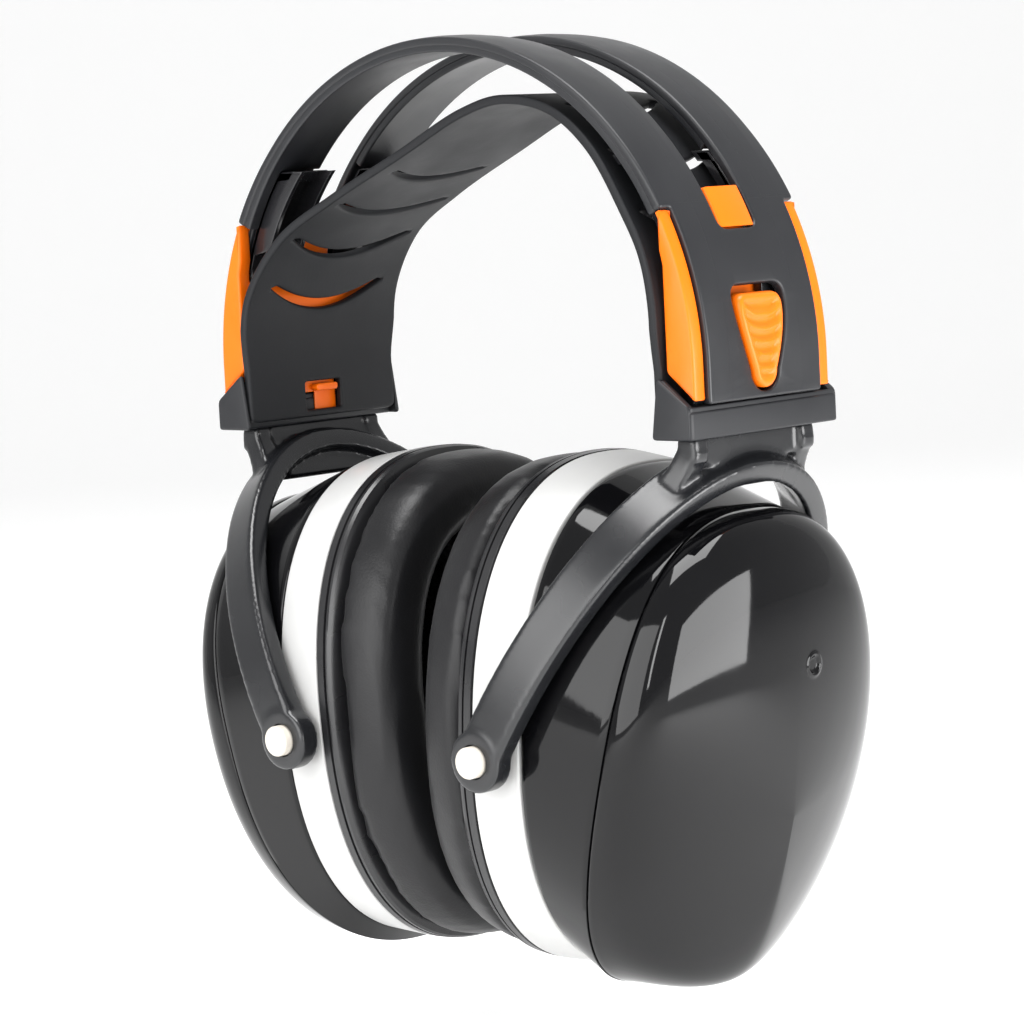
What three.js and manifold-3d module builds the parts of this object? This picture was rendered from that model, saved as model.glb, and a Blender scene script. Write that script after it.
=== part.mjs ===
// Over-ear hearing protector: a slotted headband hoop with a soft inner strap, two height-adjustable
// yokes with push-button locks, and two ear cups that tilt on pins in their yokes.
//
// Frame, millimetres: the origin is midway between the ears, on the line through the cup pivots.
// +X is the wearer's right, +Y points forward and +Z up. Everything on the right side is made once
// and mirrored to the left, apart from the strap, which sags a little to one side.

import * as THREE from "three";
import { mergeVertices } from "three/addons/utils/BufferGeometryUtils.js";
import Module from "manifold-3d";

const wasm = await Module();
wasm.setup();

// ---- Driving dimensions -------------------------------------------------------------------------

const GAP = 0.3; // clearance left between pieces that touch

// Headband hoop: a half circle on two straight legs, with a slot over the crown.
const HOOP_CENTRE_Z = 78.4;
const HOOP_RADIUS = 70;
const HOOP_CROWN_THICKNESS = 3.6;
const HOOP_LEG_THICKNESS = 2.3;
const HOOP_HALF_WIDTH = 21.5;
const HOOP_BOTTOM_Z = 70.9;
const HOOP_SLOT_HALF_WIDTH = 6;
const HOOP_SLOT_BOTTOM_Z = 105.5;

// Release-button window through the hoop's end plate.
const WINDOW_TOP_Z = 94.2;
const WINDOW_BOTTOM_Z = 72.2;
const WINDOW_TOP_HALF_WIDTH = 8.4;
const WINDOW_BOTTOM_RADIUS = 4.6;
const WINDOW_CORNER = 3;
const BUTTON_INSET = 0.7; // all-round gap between the button and its window
const BUTTON_BACK_X = 66.4;
const BUTTON_FRONT_RADIUS = 70.9;
const BUTTON_SPRING_Z = 85.5;
const SPRING_RADIUS = 3.4;
const SPRING_WIRE_RADIUS = 0.3;
const SPRING_TURNS = 2.5;

// Inner strap: one band from leg to leg, sagging towards the left of the crown.
const STRAP_THICKNESS = 2;
const STRAP_LEG_HALF_WIDTH = 24;
const STRAP_CROWN_HALF_WIDTH = 19;
const STRAP_BOTTOM_Z = 65.4;
const STRAP_FOOT_HALF_WIDTH = 22.9; // between the collar's flanges
const STRAP_FOOT_TOP_Z = 78;
const STRAP_LEG_X = 60.3;
const STRAP_POINTS = [
  [-STRAP_LEG_X, STRAP_BOTTOM_Z],
  [-60.3, 82],
  [-58, 94],
  [-48.4, 106.5],
  [-33, 115],
  [-12.4, 124],
  [6, 131.8],
  [17.7, 134],
  [31.5, 131.4],
  [43, 123.4],
  [52.6, 110.4],
  [58, 101],
  [60.2, 91],
  [60.2, 80],
  [STRAP_LEG_X, STRAP_BOTTOM_Z],
];
const SLITS = [
  // distance from the lower end, half length, sag
  [31, 17.5, 6],
  [45.5, 18.5, 7],
  [61, 17, 6.5],
  [77, 14.5, 5.5],
];
const SLIT_WIDTH = 2.3;
const LATCH_WINDOW_HALF_WIDTH = 5.5;
const LATCH_WINDOW_BOTTOM_Z = 67;
const LATCH_WINDOW_TOP_Z = 73.5;

// Collar round the foot of each hoop leg.
const COLLAR_INNER_X = 61.7;
const COLLAR_OUTER_X = 69.5;
const COLLAR_HALF_WIDTH = 24.2;
const COLLAR_FLANGE_X = 59.2; // the flanges reach in past the strap's edges
const COLLAR_EAR_TOP_Z = 76.6;
const COLLAR_BOTTOM_Z = 64;
const COLLAR_TOP_Z = 70.6;
const EAR_STEP = 0.5; // the ears stand back from the collar's outer face

// Lock housing: two side cheeks, a floor plate behind the strap and a tab in the end of the slot.
const CHEEK_INNER_Y = 18.5;
const CHEEK_OUTER_Y = 22;
const FLOOR_INNER_X = 61.6;
const FLOOR_OUTER_X = 62.5;
const FLOOR_BOTTOM_Z = 78;
const FLOOR_TOP_Z = 97;
const HOOK_BOTTOM_Z = 71.2;
const HOOK_TOP_Z = 72.8;
const TAB_HALF_WIDTH = 5.5;
const TAB_TOP_Z = 114;

// Guide prongs: one under each rail.
const PRONG_INNER_Y = 7.2;
const PRONG_OUTER_Y = 17.8;
const PRONG_BOTTOM_Z = 97.5;
const PRONG_TOP_Z = 121.4;
const PRONG_OUTER_RADIUS = 67.3;
const PRONG_THICKNESS = 1.5;
const CATCH_HEIGHT = 2.2;
const CATCH_DEPTH = 2.6;

// Yoke: forked stem, ribbed neck and an arch whose arms end in eyes round the pivot pins.
const STEM_INNER_X = 62.9;
const STEM_OUTER_X = 64.8;
const STEM_HALF_WIDTH = 17.2;
const STEM_TOP_Z = 95;
const STEM_FORK_HALF_WIDTH = 6.2;
const STEM_FORK_BOTTOM_Z = 77;
const NECK_HALF_WIDTH = 19.5;
const NECK_TOP_Z = 63.6;
const RIB_WIDTH = 4.5;
const NOTCH_PITCH = 3;
const NOTCH_DEPTH = 1;
const PANEL_FOOT_Z = 53;
const RIB_FOOT_Z = 51;
const RIB_OUTER_X = 66.4; // at the collar; the panel lies behind it
const ARCH_LEAN = THREE.MathUtils.degToRad(31); // from vertical, outwards
const ARCH_OUTER_HALF_WIDTH = 48.5;
const ARCH_OUTER_HEIGHT = 70;
const ARCH_THICKNESS = 5;
const ARCH_STRIP_WIDTH = 10.8;
const EYE_RADIUS = 6.6;

// Cup pivots.
const PIVOT_X = 28.3;
const PIN_RADIUS = 3.3;
const PIN_INNER_Y = 39.3;
const PIN_OUTER_Y = 50.6;
const PIN_CLEARANCE = 0.35;
const CUP_LEAN = THREE.MathUtils.degToRad(3.4); // tops of the cups lean outwards

// Ear cup, measured in its own frame: x outwards from the pivot line, z up from it.
const CUP_HALF_WIDTH = 42.5;
const CUP_TOP = 58.8;
const CUP_BOTTOM = -51.2;
const CUP_EXPONENT = 2.33; // of the superellipse that the cup's outline follows
const CUSHION_FACE = -25.1;
const CUSHION_BACK = -11.1;
const PLATE_BACK = -10.8;
const PLATE_FRONT = -6.3;
const RING_BACK = -6;
const RING_FRONT = 6;
const BODY_BACK = 6.3;
const BODY_INSET = 1.2; // the body is a little smaller than the ring
const WALL = 2.6;
const RING_WALL = 3.6;
const PLATE_HOLE_INSET = 18;
const CUSHION_OUTER_INSET = 0.9;
const CUSHION_INNER_INSET = 18.5;
const COVER_THICKNESS = 1;
const LINER_GAP = 0.6;
const LINER_THICKNESS = 7;
const CUP_SEGMENTS = 40;

// The seam between body and dome: an oval whose plane leans back, bowed outwards at its sides.
const SEAM_X = 20.9;
const SEAM_Z = -1.6;
const SEAM_LEAN = THREE.MathUtils.degToRad(11.6);
const SEAM_HALF_WIDTH = 40;
const SEAM_HALF_HEIGHT = 52.4;
const SEAM_BOW = 5.5;
const SEAM_EXPONENT = 2.42;

// The dome outwards from the seam: t runs from 0 at the seam to 1 at the apex.
const DOME_DEPTH = 25.8;
const DOME_SHOULDER = 3; // how late the sections shrink
const DOME_TAPER = 1.1; // how they shrink at the sides and top
const DOME_CHIN = 2.6; // and, more roundly, at the bottom
const DOME_RISE = 8.4;
const DOME_FALL = 15;
const DOME_ROUNDING = 0.7; // how much the sections' exponent falls by the apex

// ---- Solids -------------------------------------------------------------------------------------

// A closed geometry as a solid: vertices merged, empty triangles dropped, faces turned outwards.
function solid(geometry) {
  const loose = geometry.index ? geometry.toNonIndexed() : geometry;
  const bare = new THREE.BufferGeometry().setAttribute("position", loose.getAttribute("position"));
  const merged = mergeVertices(bare, 1e-3);
  const corners = [];
  for (let i = 0; i < merged.index.count; i += 3) {
    const [a, b, c] = [0, 1, 2].map((step) => merged.index.getX(i + step));
    if (a !== b && b !== c && c !== a) corners.push(a, b, c);
  }
  const vertProperties = merged.getAttribute("position").array;
  const make = (list) =>
    new wasm.Manifold(
      new wasm.Mesh({ numProp: 3, vertProperties, triVerts: new Uint32Array(list) }),
    );
  const made = make(corners);
  return made.volume() > 0 ? made : make(corners.reverse());
}

function join(first, ...others) {
  return others.reduce((sum, other) => sum.add(other), first);
}

function cut(from, ...tools) {
  return tools.reduce((rest, tool) => rest.subtract(tool), from);
}

function named(name, shape, material) {
  const { vertProperties, triVerts } = shape.getMesh();
  const geometry = new THREE.BufferGeometry();
  geometry.setAttribute("position", new THREE.BufferAttribute(vertProperties, 3));
  geometry.setIndex(new THREE.BufferAttribute(triVerts, 1));
  geometry.computeVertexNormals();
  const mesh = new THREE.Mesh(geometry, material);
  mesh.name = name;
  return mesh;
}

const box = (x0, x1, y0, y1, z0, z1) =>
  solid(
    new THREE.BoxGeometry(x1 - x0, y1 - y0, z1 - z0).translate(
      (x0 + x1) / 2,
      (y0 + y1) / 2,
      (z0 + z1) / 2,
    ),
  );

// The outline [[x, z], ...] carried along Y from y0 to y1.
function prismAlongY(outline, y0, y1) {
  const shape = new THREE.Shape(outline.map(([x, z]) => new THREE.Vector2(x, z)));
  const geometry = new THREE.ExtrudeGeometry(shape, { depth: y1 - y0, bevelEnabled: false });
  return solid(geometry.rotateX(Math.PI / 2).translate(0, y1, 0));
}

// A THREE.Shape drawn in Y and Z, carried along X from x0 to x1.
function prismAlongX(shape, x0, x1) {
  const geometry = new THREE.ExtrudeGeometry(shape, {
    depth: x1 - x0,
    bevelEnabled: false,
    curveSegments: 8,
  });
  const turn = new THREE.Matrix4().makeBasis(
    new THREE.Vector3(0, 1, 0),
    new THREE.Vector3(0, 0, 1),
    new THREE.Vector3(1, 0, 0),
  );
  return solid(geometry.applyMatrix4(turn).translate(x0, 0, 0));
}

// ---- Curves of the headband ---------------------------------------------------------------------

// A point on the hoop's outline family: a circle above the centre, a straight leg below it.
function legX(radius, z) {
  const rise = Math.max(0, z - HOOP_CENTRE_Z);
  return Math.sqrt(radius * radius - rise * rise);
}

// Points up the right leg at one radius, from z0 to z1.
function legCurve(radius, z0, z1, steps) {
  return Array.from({ length: steps + 1 }, (_, i) => {
    const z = z0 + ((z1 - z0) * i) / steps;
    return [legX(radius, z), z];
  });
}

// Half an ellipse over the crown, from the right leg to the left.
function archCurve(halfWidth, height, steps) {
  return Array.from({ length: steps + 1 }, (_, i) => {
    const angle = (Math.PI * i) / steps;
    return [halfWidth * Math.cos(angle), HOOP_CENTRE_Z + height * Math.sin(angle)];
  });
}

// ---- Headband hoop ------------------------------------------------------------------------------

const CHEEK_RADIUS = HOOP_RADIUS - 0.9;
const PLATE_INNER_RADIUS = HOOP_RADIUS - HOOP_LEG_THICKNESS;
const RAIL_INNER_HALF_WIDTH = HOOP_RADIUS - 4.4;
const CHANNEL_TOP_Z = 124; // the guide prongs run in a channel under the rails
const CHEEK_TOP_Z = 110.3;
const CHEEK_INNER_TOP_Z = 102;

// Wide round top, straight sides and a narrow round foot.
function teardrop(inset) {
  const half = WINDOW_TOP_HALF_WIDTH - inset;
  const foot = WINDOW_BOTTOM_RADIUS - inset;
  const top = WINDOW_TOP_Z - inset;
  const footZ = WINDOW_BOTTOM_Z + WINDOW_BOTTOM_RADIUS;
  const corner = WINDOW_CORNER;
  const shape = new THREE.Shape();
  shape.moveTo(-half + corner, top);
  shape.quadraticCurveTo(-half, top, -half, top - corner);
  shape.quadraticCurveTo(-half, top - 2.5 * corner, -foot, footZ);
  shape.absarc(0, footZ, foot, Math.PI, 2 * Math.PI, false);
  shape.quadraticCurveTo(half, top - 2.5 * corner, half, top - corner);
  shape.quadraticCurveTo(half, top, half - corner, top);
  return shape;
}

// What is cut from the band at one leg: the lock's room behind the end plate with the channel for
// the guide prongs above it, the open sides that the cheeks fill, and the button window.
function legCuts(side) {
  const wide = HOOP_HALF_WIDTH + 1;
  const room = CHEEK_INNER_Y - GAP;
  const below = HOOP_BOTTOM_Z - 1;
  const onSide = (outline) => outline.map(([x, z]) => [side * x, z]);
  const recess = onSide([
    [45, below],
    ...legCurve(PLATE_INNER_RADIUS, below, CHANNEL_TOP_Z, 18),
    [30, CHANNEL_TOP_Z],
  ]);
  const opening = onSide([
    [50, below],
    ...legCurve(CHEEK_RADIUS + GAP, below, CHEEK_TOP_Z + GAP, 14),
    [57, CHEEK_TOP_Z + GAP],
    [57, CHEEK_INNER_TOP_Z],
  ]);
  const [windowStart, windowEnd] = side > 0 ? [55, 80] : [-80, -55];
  return [
    prismAlongY(recess, -room, room),
    prismAlongY(opening, room, wide),
    prismAlongY(opening, -wide, -room),
    prismAlongX(teardrop(0), windowStart, windowEnd),
  ];
}

function makeHoop() {
  const reach = HOOP_RADIUS + 1;
  const innerHeight = HOOP_RADIUS - HOOP_CROWN_THICKNESS;
  const profile = [
    [HOOP_RADIUS, HOOP_BOTTOM_Z],
    ...archCurve(HOOP_RADIUS, HOOP_RADIUS, 44),
    [-HOOP_RADIUS, HOOP_BOTTOM_Z],
    [-RAIL_INNER_HALF_WIDTH, HOOP_BOTTOM_Z],
    ...archCurve(RAIL_INNER_HALF_WIDTH, innerHeight, 36).reverse(),
    [RAIL_INNER_HALF_WIDTH, HOOP_BOTTOM_Z],
  ];
  const slotHalf = HOOP_SLOT_HALF_WIDTH;
  const slot = box(-reach, reach, -slotHalf, slotHalf, HOOP_SLOT_BOTTOM_Z, HOOP_CENTRE_Z + reach);
  const band = prismAlongY(profile, -HOOP_HALF_WIDTH, HOOP_HALF_WIDTH);
  return cut(band, slot, ...legCuts(1), ...legCuts(-1));
}

// ---- Inner strap --------------------------------------------------------------------------------

const strapPath = new THREE.CatmullRomCurve3(
  STRAP_POINTS.map(([x, z]) => new THREE.Vector3(x, 0, z)),
);
const STRAP_STEPS = 52;

// A curved slit that bulges towards the strap's lower end, drawn in Y and along the strap.
function crescent(halfLength, sag) {
  const shape = new THREE.Shape();
  shape.moveTo(-halfLength, 0);
  shape.quadraticCurveTo(0, -2 * sag, halfLength, 0);
  shape.quadraticCurveTo(0, 2 * (SLIT_WIDTH - sag), -halfLength, 0);
  return shape;
}

// Cuts one crescent square through the strap, at a distance from the lower end on its side.
function slitCutter(side, distance, halfLength, sag) {
  const along = distance / strapPath.getLength();
  const place = side < 0 ? along : 1 - along;
  const centre = strapPath.getPointAt(place);
  const upward = strapPath.getTangentAt(place).multiplyScalar(-side);
  const across = new THREE.Vector3(0, 1, 0);
  const through = new THREE.Vector3().crossVectors(across, upward);
  const geometry = new THREE.ExtrudeGeometry(crescent(halfLength, sag), {
    depth: 8,
    bevelEnabled: false,
    curveSegments: 8,
  });
  geometry.translate(0, 0, -4);
  geometry.applyMatrix4(new THREE.Matrix4().makeBasis(across, upward, through));
  return solid(geometry.translate(centre.x, centre.y, centre.z));
}

function makeStrap() {
  const outside = [];
  const inside = [];
  for (let i = 0; i <= STRAP_STEPS; i++) {
    const { x, z } = strapPath.getPointAt(i / STRAP_STEPS);
    const tangent = strapPath.getTangentAt(i / STRAP_STEPS);
    const [dx, dz] = [(-tangent.z * STRAP_THICKNESS) / 2, (tangent.x * STRAP_THICKNESS) / 2];
    outside.push([x + dx, z + dz]);
    inside.unshift([x - dx, z - dz]);
  }
  const wide = STRAP_LEG_HALF_WIDTH;
  const ribbon = prismAlongY([...outside, ...inside], -wide, wide);
  // Seen from above, the strap narrows towards the crown.
  const spread = wide - STRAP_CROWN_HALF_WIDTH;
  const edge = Array.from({ length: 25 }, (_, i) => {
    const x = -66 + 5.5 * i;
    const narrowing = 1 - Math.min(1, Math.abs(x) / STRAP_LEG_X) ** 2.4;
    return new THREE.Vector2(x, wide - spread * narrowing);
  });
  const plan = new THREE.Shape([
    ...edge,
    ...edge.map(({ x, y }) => new THREE.Vector2(x, -y)).reverse(),
  ]);
  const planSolid = solid(
    new THREE.ExtrudeGeometry(plan, { depth: 100, bevelEnabled: false }).translate(0, 0, 50),
  );
  const cutters = [];
  for (const side of [-1, 1]) {
    for (const front of [-1, 1]) {
      const ySpan = [front * STRAP_FOOT_HALF_WIDTH, front * (wide + 1)].sort((a, b) => a - b);
      const xSpan = [side * 50, side * 66].sort((a, b) => a - b);
      cutters.push(box(...xSpan, ...ySpan, STRAP_BOTTOM_Z - 1, STRAP_FOOT_TOP_Z));
    }
    SLITS.forEach(([distance, halfLength, sag]) =>
      cutters.push(slitCutter(side, distance, halfLength, sag)),
    );
    const [x0, x1] = side > 0 ? [55, 66] : [-66, -55];
    const half = LATCH_WINDOW_HALF_WIDTH;
    cutters.push(box(x0, x1, -half, half, LATCH_WINDOW_BOTTOM_Z, LATCH_WINDOW_TOP_Z));
  }
  return cut(ribbon.intersect(planSolid), ...cutters);
}

// ---- Right-hand side: collar and lock -----------------------------------------------------------

function makeCollar() {
  const end = COLLAR_HALF_WIDTH;
  const block = box(COLLAR_INNER_X, COLLAR_OUTER_X, -end, end, COLLAR_BOTTOM_Z, COLLAR_TOP_Z);
  const earFoot = COLLAR_BOTTOM_Z + 1;
  const earOuter = COLLAR_OUTER_X - EAR_STEP;
  const ear = [
    [COLLAR_INNER_X, earFoot],
    [earOuter, earFoot],
    [earOuter, COLLAR_TOP_Z],
    [COLLAR_INNER_X, COLLAR_EAR_TOP_Z],
  ];
  const flange = [
    [COLLAR_FLANGE_X, COLLAR_BOTTOM_Z],
    [COLLAR_INNER_X + 1, COLLAR_BOTTOM_Z],
    [COLLAR_INNER_X + 1, COLLAR_EAR_TOP_Z - 1],
    [COLLAR_INNER_X - 0.7, COLLAR_EAR_TOP_Z],
  ];
  const earInner = CHEEK_OUTER_Y + GAP;
  const flangeInner = STRAP_FOOT_HALF_WIDTH + GAP;
  const half = STEM_HALF_WIDTH + GAP;
  const passage = box(
    STEM_INNER_X - GAP,
    STEM_OUTER_X + GAP,
    -half,
    half,
    COLLAR_BOTTOM_Z - 1,
    COLLAR_TOP_Z + 1,
  );
  const whole = join(
    block,
    prismAlongY(ear, earInner, end),
    prismAlongY(ear, -end, -earInner),
    prismAlongY(flange, flangeInner, end),
    prismAlongY(flange, -end, -flangeInner),
  );
  return cut(whole, passage);
}

function makeLockHousing() {
  const cheek = [
    [COLLAR_INNER_X + 0.3, 77.4],
    [CHEEK_RADIUS, COLLAR_TOP_Z + 0.9],
    ...legCurve(CHEEK_RADIUS, HOOP_CENTRE_Z, CHEEK_TOP_Z, 12),
    [61.3, CHEEK_INNER_TOP_Z],
    [62, 99],
  ];
  const room = CHEEK_INNER_Y;
  const reach = room + 1;
  const floor = box(FLOOR_INNER_X, FLOOR_OUTER_X, -reach, reach, FLOOR_BOTTOM_Z, FLOOR_TOP_Z);
  const foot = box(
    FLOOR_INNER_X,
    FLOOR_OUTER_X,
    -LATCH_WINDOW_HALF_WIDTH,
    LATCH_WINDOW_HALF_WIDTH,
    COLLAR_TOP_Z + GAP,
    FLOOR_BOTTOM_Z + 1,
  );
  // A hook from the foot of the floor plate holds the strap by its lower window.
  const hook = box(
    STRAP_LEG_X - 1,
    FLOOR_OUTER_X,
    -2,
    LATCH_WINDOW_HALF_WIDTH - 1,
    HOOK_BOTTOM_Z,
    HOOK_TOP_Z,
  );
  const tab = [
    [FLOOR_INNER_X, FLOOR_TOP_Z - 1],
    [FLOOR_OUTER_X, FLOOR_TOP_Z - 1],
    ...legCurve(PLATE_INNER_RADIUS - 0.5, FLOOR_TOP_Z + 1, HOOP_SLOT_BOTTOM_Z, 4),
    ...legCurve(HOOP_RADIUS - 0.4, HOOP_SLOT_BOTTOM_Z + GAP, TAB_TOP_Z, 4),
    [56.6, TAB_TOP_Z - 0.6],
    [58.6, 108],
    [60.9, 103],
  ];
  return join(
    prismAlongY(cheek, room, CHEEK_OUTER_Y),
    prismAlongY(cheek, -CHEEK_OUTER_Y, -room),
    floor,
    foot,
    hook,
    prismAlongY(tab, -TAB_HALF_WIDTH, TAB_HALF_WIDTH),
  );
}

// A springy prong in the channel under one rail, with a catch at its upper end.
function makeGuideProng(side) {
  const blade = [
    ...legCurve(PRONG_OUTER_RADIUS, PRONG_BOTTOM_Z, PRONG_TOP_Z, 8),
    ...legCurve(PRONG_OUTER_RADIUS - PRONG_THICKNESS, PRONG_BOTTOM_Z, PRONG_TOP_Z, 8).reverse(),
  ];
  const catchInner = PRONG_OUTER_RADIUS - PRONG_THICKNESS - CATCH_DEPTH;
  const top = [
    ...legCurve(PRONG_OUTER_RADIUS - 0.5, PRONG_TOP_Z - CATCH_HEIGHT, PRONG_TOP_Z, 1),
    ...legCurve(catchInner, PRONG_TOP_Z - CATCH_HEIGHT, PRONG_TOP_Z, 1).reverse(),
  ];
  const [y0, y1] = [PRONG_INNER_Y, PRONG_OUTER_Y].map((y) => side * y).sort((a, b) => a - b);
  return join(prismAlongY(blade, y0, y1), prismAlongY(top, y0, y1));
}

function makeButton() {
  const body = [
    [BUTTON_BACK_X, WINDOW_BOTTOM_Z],
    ...legCurve(BUTTON_FRONT_RADIUS, WINDOW_BOTTOM_Z, WINDOW_TOP_Z, 8),
    [BUTTON_BACK_X, WINDOW_TOP_Z],
  ];
  const drop = prismAlongX(teardrop(BUTTON_INSET), BUTTON_BACK_X - 1, BUTTON_FRONT_RADIUS + 1);
  return prismAlongY(body, -WINDOW_TOP_HALF_WIDTH, WINDOW_TOP_HALF_WIDTH).intersect(drop);
}

class Helix extends THREE.Curve {
  getPoint(t) {
    const angle = 2 * Math.PI * SPRING_TURNS * t;
    const first = FLOOR_OUTER_X + GAP + SPRING_WIRE_RADIUS;
    const last = BUTTON_BACK_X - GAP - SPRING_WIRE_RADIUS;
    return new THREE.Vector3(
      first + (last - first) * t,
      SPRING_RADIUS * Math.cos(angle),
      BUTTON_SPRING_Z + SPRING_RADIUS * Math.sin(angle),
    );
  }
}

function makeButtonSpring() {
  const wire = new THREE.Shape(
    Array.from({ length: 5 }, (_, i) => {
      const angle = (2 * Math.PI * i) / 5;
      return new THREE.Vector2(
        SPRING_WIRE_RADIUS * Math.cos(angle),
        SPRING_WIRE_RADIUS * Math.sin(angle),
      );
    }),
  );
  return solid(
    new THREE.ExtrudeGeometry(wire, { steps: 30, bevelEnabled: false, extrudePath: new Helix() }),
  );
}

// ---- Right-hand side: yoke ----------------------------------------------------------------------

// A cylinder along Y through the cup pivots.
function pivotCylinder(radius, y0, y1) {
  const geometry = new THREE.CylinderGeometry(radius, radius, y1 - y0, 24);
  return solid(geometry.translate(0, (y0 + y1) / 2, 0));
}

function halfEllipse(halfWidth, height, steps) {
  return Array.from({ length: steps + 1 }, (_, i) => {
    const angle = (Math.PI * i) / steps;
    return new THREE.Vector2(halfWidth * Math.cos(angle), height * Math.sin(angle));
  });
}

function makeYoke() {
  const outline = new THREE.Shape([
    ...halfEllipse(ARCH_OUTER_HALF_WIDTH, ARCH_OUTER_HEIGHT, 32),
    ...halfEllipse(
      ARCH_OUTER_HALF_WIDTH - ARCH_THICKNESS,
      ARCH_OUTER_HEIGHT - ARCH_THICKNESS,
      32,
    ).reverse(),
  ]);
  const strip = new THREE.ExtrudeGeometry(outline, {
    depth: ARCH_STRIP_WIDTH,
    bevelEnabled: false,
  });
  strip.translate(0, 0, -ARCH_STRIP_WIDTH / 2);
  const [sine, cosine] = [Math.sin(ARCH_LEAN), Math.cos(ARCH_LEAN)];
  strip.applyMatrix4(
    new THREE.Matrix4().makeBasis(
      new THREE.Vector3(0, 1, 0),
      new THREE.Vector3(sine, 0, cosine),
      new THREE.Vector3(cosine, 0, -sine),
    ),
  );
  const armInner = ARCH_OUTER_HALF_WIDTH - ARCH_THICKNESS;
  const spansY = [
    [armInner, ARCH_OUTER_HALF_WIDTH],
    [-ARCH_OUTER_HALF_WIDTH, -armInner],
  ];
  const eyes = spansY.map(([y0, y1]) => pivotCylinder(EYE_RADIUS, y0, y1));
  const bores = spansY.map(([y0, y1]) => pivotCylinder(PIN_RADIUS + PIN_CLEARANCE, y0 - 1, y1 + 1));
  // Stand the arch on the pivots, which lie at PIVOT_X from the middle.
  const atPivot = (part) => part.translate(PIVOT_X, 0, 0);
  const arch = atPivot(cut(join(solid(strip), ...eyes), ...bores));

  const panel = [
    [STEM_INNER_X, NECK_TOP_Z],
    [STEM_OUTER_X, NECK_TOP_Z],
    [STEM_OUTER_X + 0.8, PANEL_FOOT_Z + 4],
    [STEM_INNER_X, PANEL_FOOT_Z],
    [STEM_INNER_X - 2, PANEL_FOOT_Z + 3],
  ];
  const rib = [
    [STEM_INNER_X - 1, NECK_TOP_Z],
    [RIB_OUTER_X, NECK_TOP_Z],
    [RIB_OUTER_X + 0.2, RIB_FOOT_Z + 4],
    [STEM_INNER_X - 1.4, RIB_FOOT_Z],
    [STEM_INNER_X - 4.4, RIB_FOOT_Z + 5.5],
    [STEM_INNER_X - 1, NECK_TOP_Z - 3.6],
  ];
  const ribInner = NECK_HALF_WIDTH - RIB_WIDTH;
  const neck = [
    prismAlongY(panel, -ribInner - 1, ribInner + 1),
    prismAlongY(rib, ribInner, NECK_HALF_WIDTH),
    prismAlongY(rib, -NECK_HALF_WIDTH, -ribInner),
  ];
  const half = STEM_HALF_WIDTH;
  const stem = box(STEM_INNER_X, STEM_OUTER_X, -half, half, NECK_TOP_Z - 1, STEM_TOP_Z);
  const forkHalf = STEM_FORK_HALF_WIDTH;
  const fork = box(
    STEM_INNER_X - 1,
    STEM_OUTER_X + 1,
    -forkHalf,
    forkHalf,
    STEM_FORK_BOTTOM_Z,
    STEM_TOP_Z + 1,
  );
  // Notches along the fork that set the height step by step.
  const notches = [];
  for (let z = STEM_FORK_BOTTOM_Z + NOTCH_PITCH; z < STEM_TOP_Z - 2; z += NOTCH_PITCH) {
    for (const y of [-forkHalf, forkHalf]) {
      const [y0, y1] = [y - NOTCH_DEPTH, y + NOTCH_DEPTH];
      notches.push(box(STEM_INNER_X - 1, STEM_OUTER_X + 1, y0, y1, z, z + NOTCH_PITCH / 2));
    }
  }
  return cut(join(arch, ...neck, stem), fork, ...notches);
}

// ---- Ear cup, in its own frame ------------------------------------------------------------------

const oval = (value, exponent) => Math.sign(value) * Math.abs(value) ** (2 / exponent);

// A ring is a function from an angle, 0 at the top, to a point [x, y, z] on a section.
// This one has the shape of the cup's border, drawn in by an inset all round.
function borderRing(x, inset) {
  const middle = (CUP_TOP + CUP_BOTTOM) / 2;
  const halfHeight = (CUP_TOP - CUP_BOTTOM) / 2 - inset;
  return (angle) => [
    x,
    (CUP_HALF_WIDTH - inset) * oval(Math.sin(angle), CUP_EXPONENT),
    middle + halfHeight * oval(Math.cos(angle), CUP_EXPONENT),
  ];
}

// A ring of the dome.
function domeRing(t, inset) {
  const fullness = 1 - t ** DOME_SHOULDER;
  const wide = (SEAM_HALF_WIDTH - inset) * fullness ** (1 / DOME_TAPER);
  const above = (SEAM_HALF_HEIGHT - inset) * fullness ** (1 / DOME_TAPER);
  const below = (SEAM_HALF_HEIGHT - inset) * fullness ** (1 / DOME_CHIN);
  const depth = (DOME_DEPTH - inset) * t;
  const rise = DOME_RISE * t - DOME_FALL * t * t;
  const exponent = SEAM_EXPONENT - DOME_ROUNDING * t;
  const [sine, cosine] = [Math.sin(SEAM_LEAN), Math.cos(SEAM_LEAN)];
  return (angle) => {
    const across = oval(Math.sin(angle), exponent);
    const up = oval(Math.cos(angle), exponent);
    const outward = depth + SEAM_BOW * across * across * (1 - t);
    const upward = rise + up * (up > 0 ? above : below);
    return [
      SEAM_X + outward * cosine + upward * sine,
      wide * across,
      SEAM_Z - outward * sine + upward * cosine,
    ];
  };
}

// A ring of the body, part of the way from the border to the seam.
function bodyRing(share, inset) {
  const start = borderRing(BODY_BACK, BODY_INSET + inset);
  const end = domeRing(0, inset);
  return (angle) => {
    const [from, to] = [start(angle), end(angle)];
    return from.map((value, i) => value + (to[i] - value) * share);
  };
}

// A run of rings made by one of the functions above, at even steps.
const run = (makeRing, from, to, steps, inset) =>
  Array.from({ length: steps + 1 }, (_, i) => makeRing(from + ((to - from) * i) / steps, inset));

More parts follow.
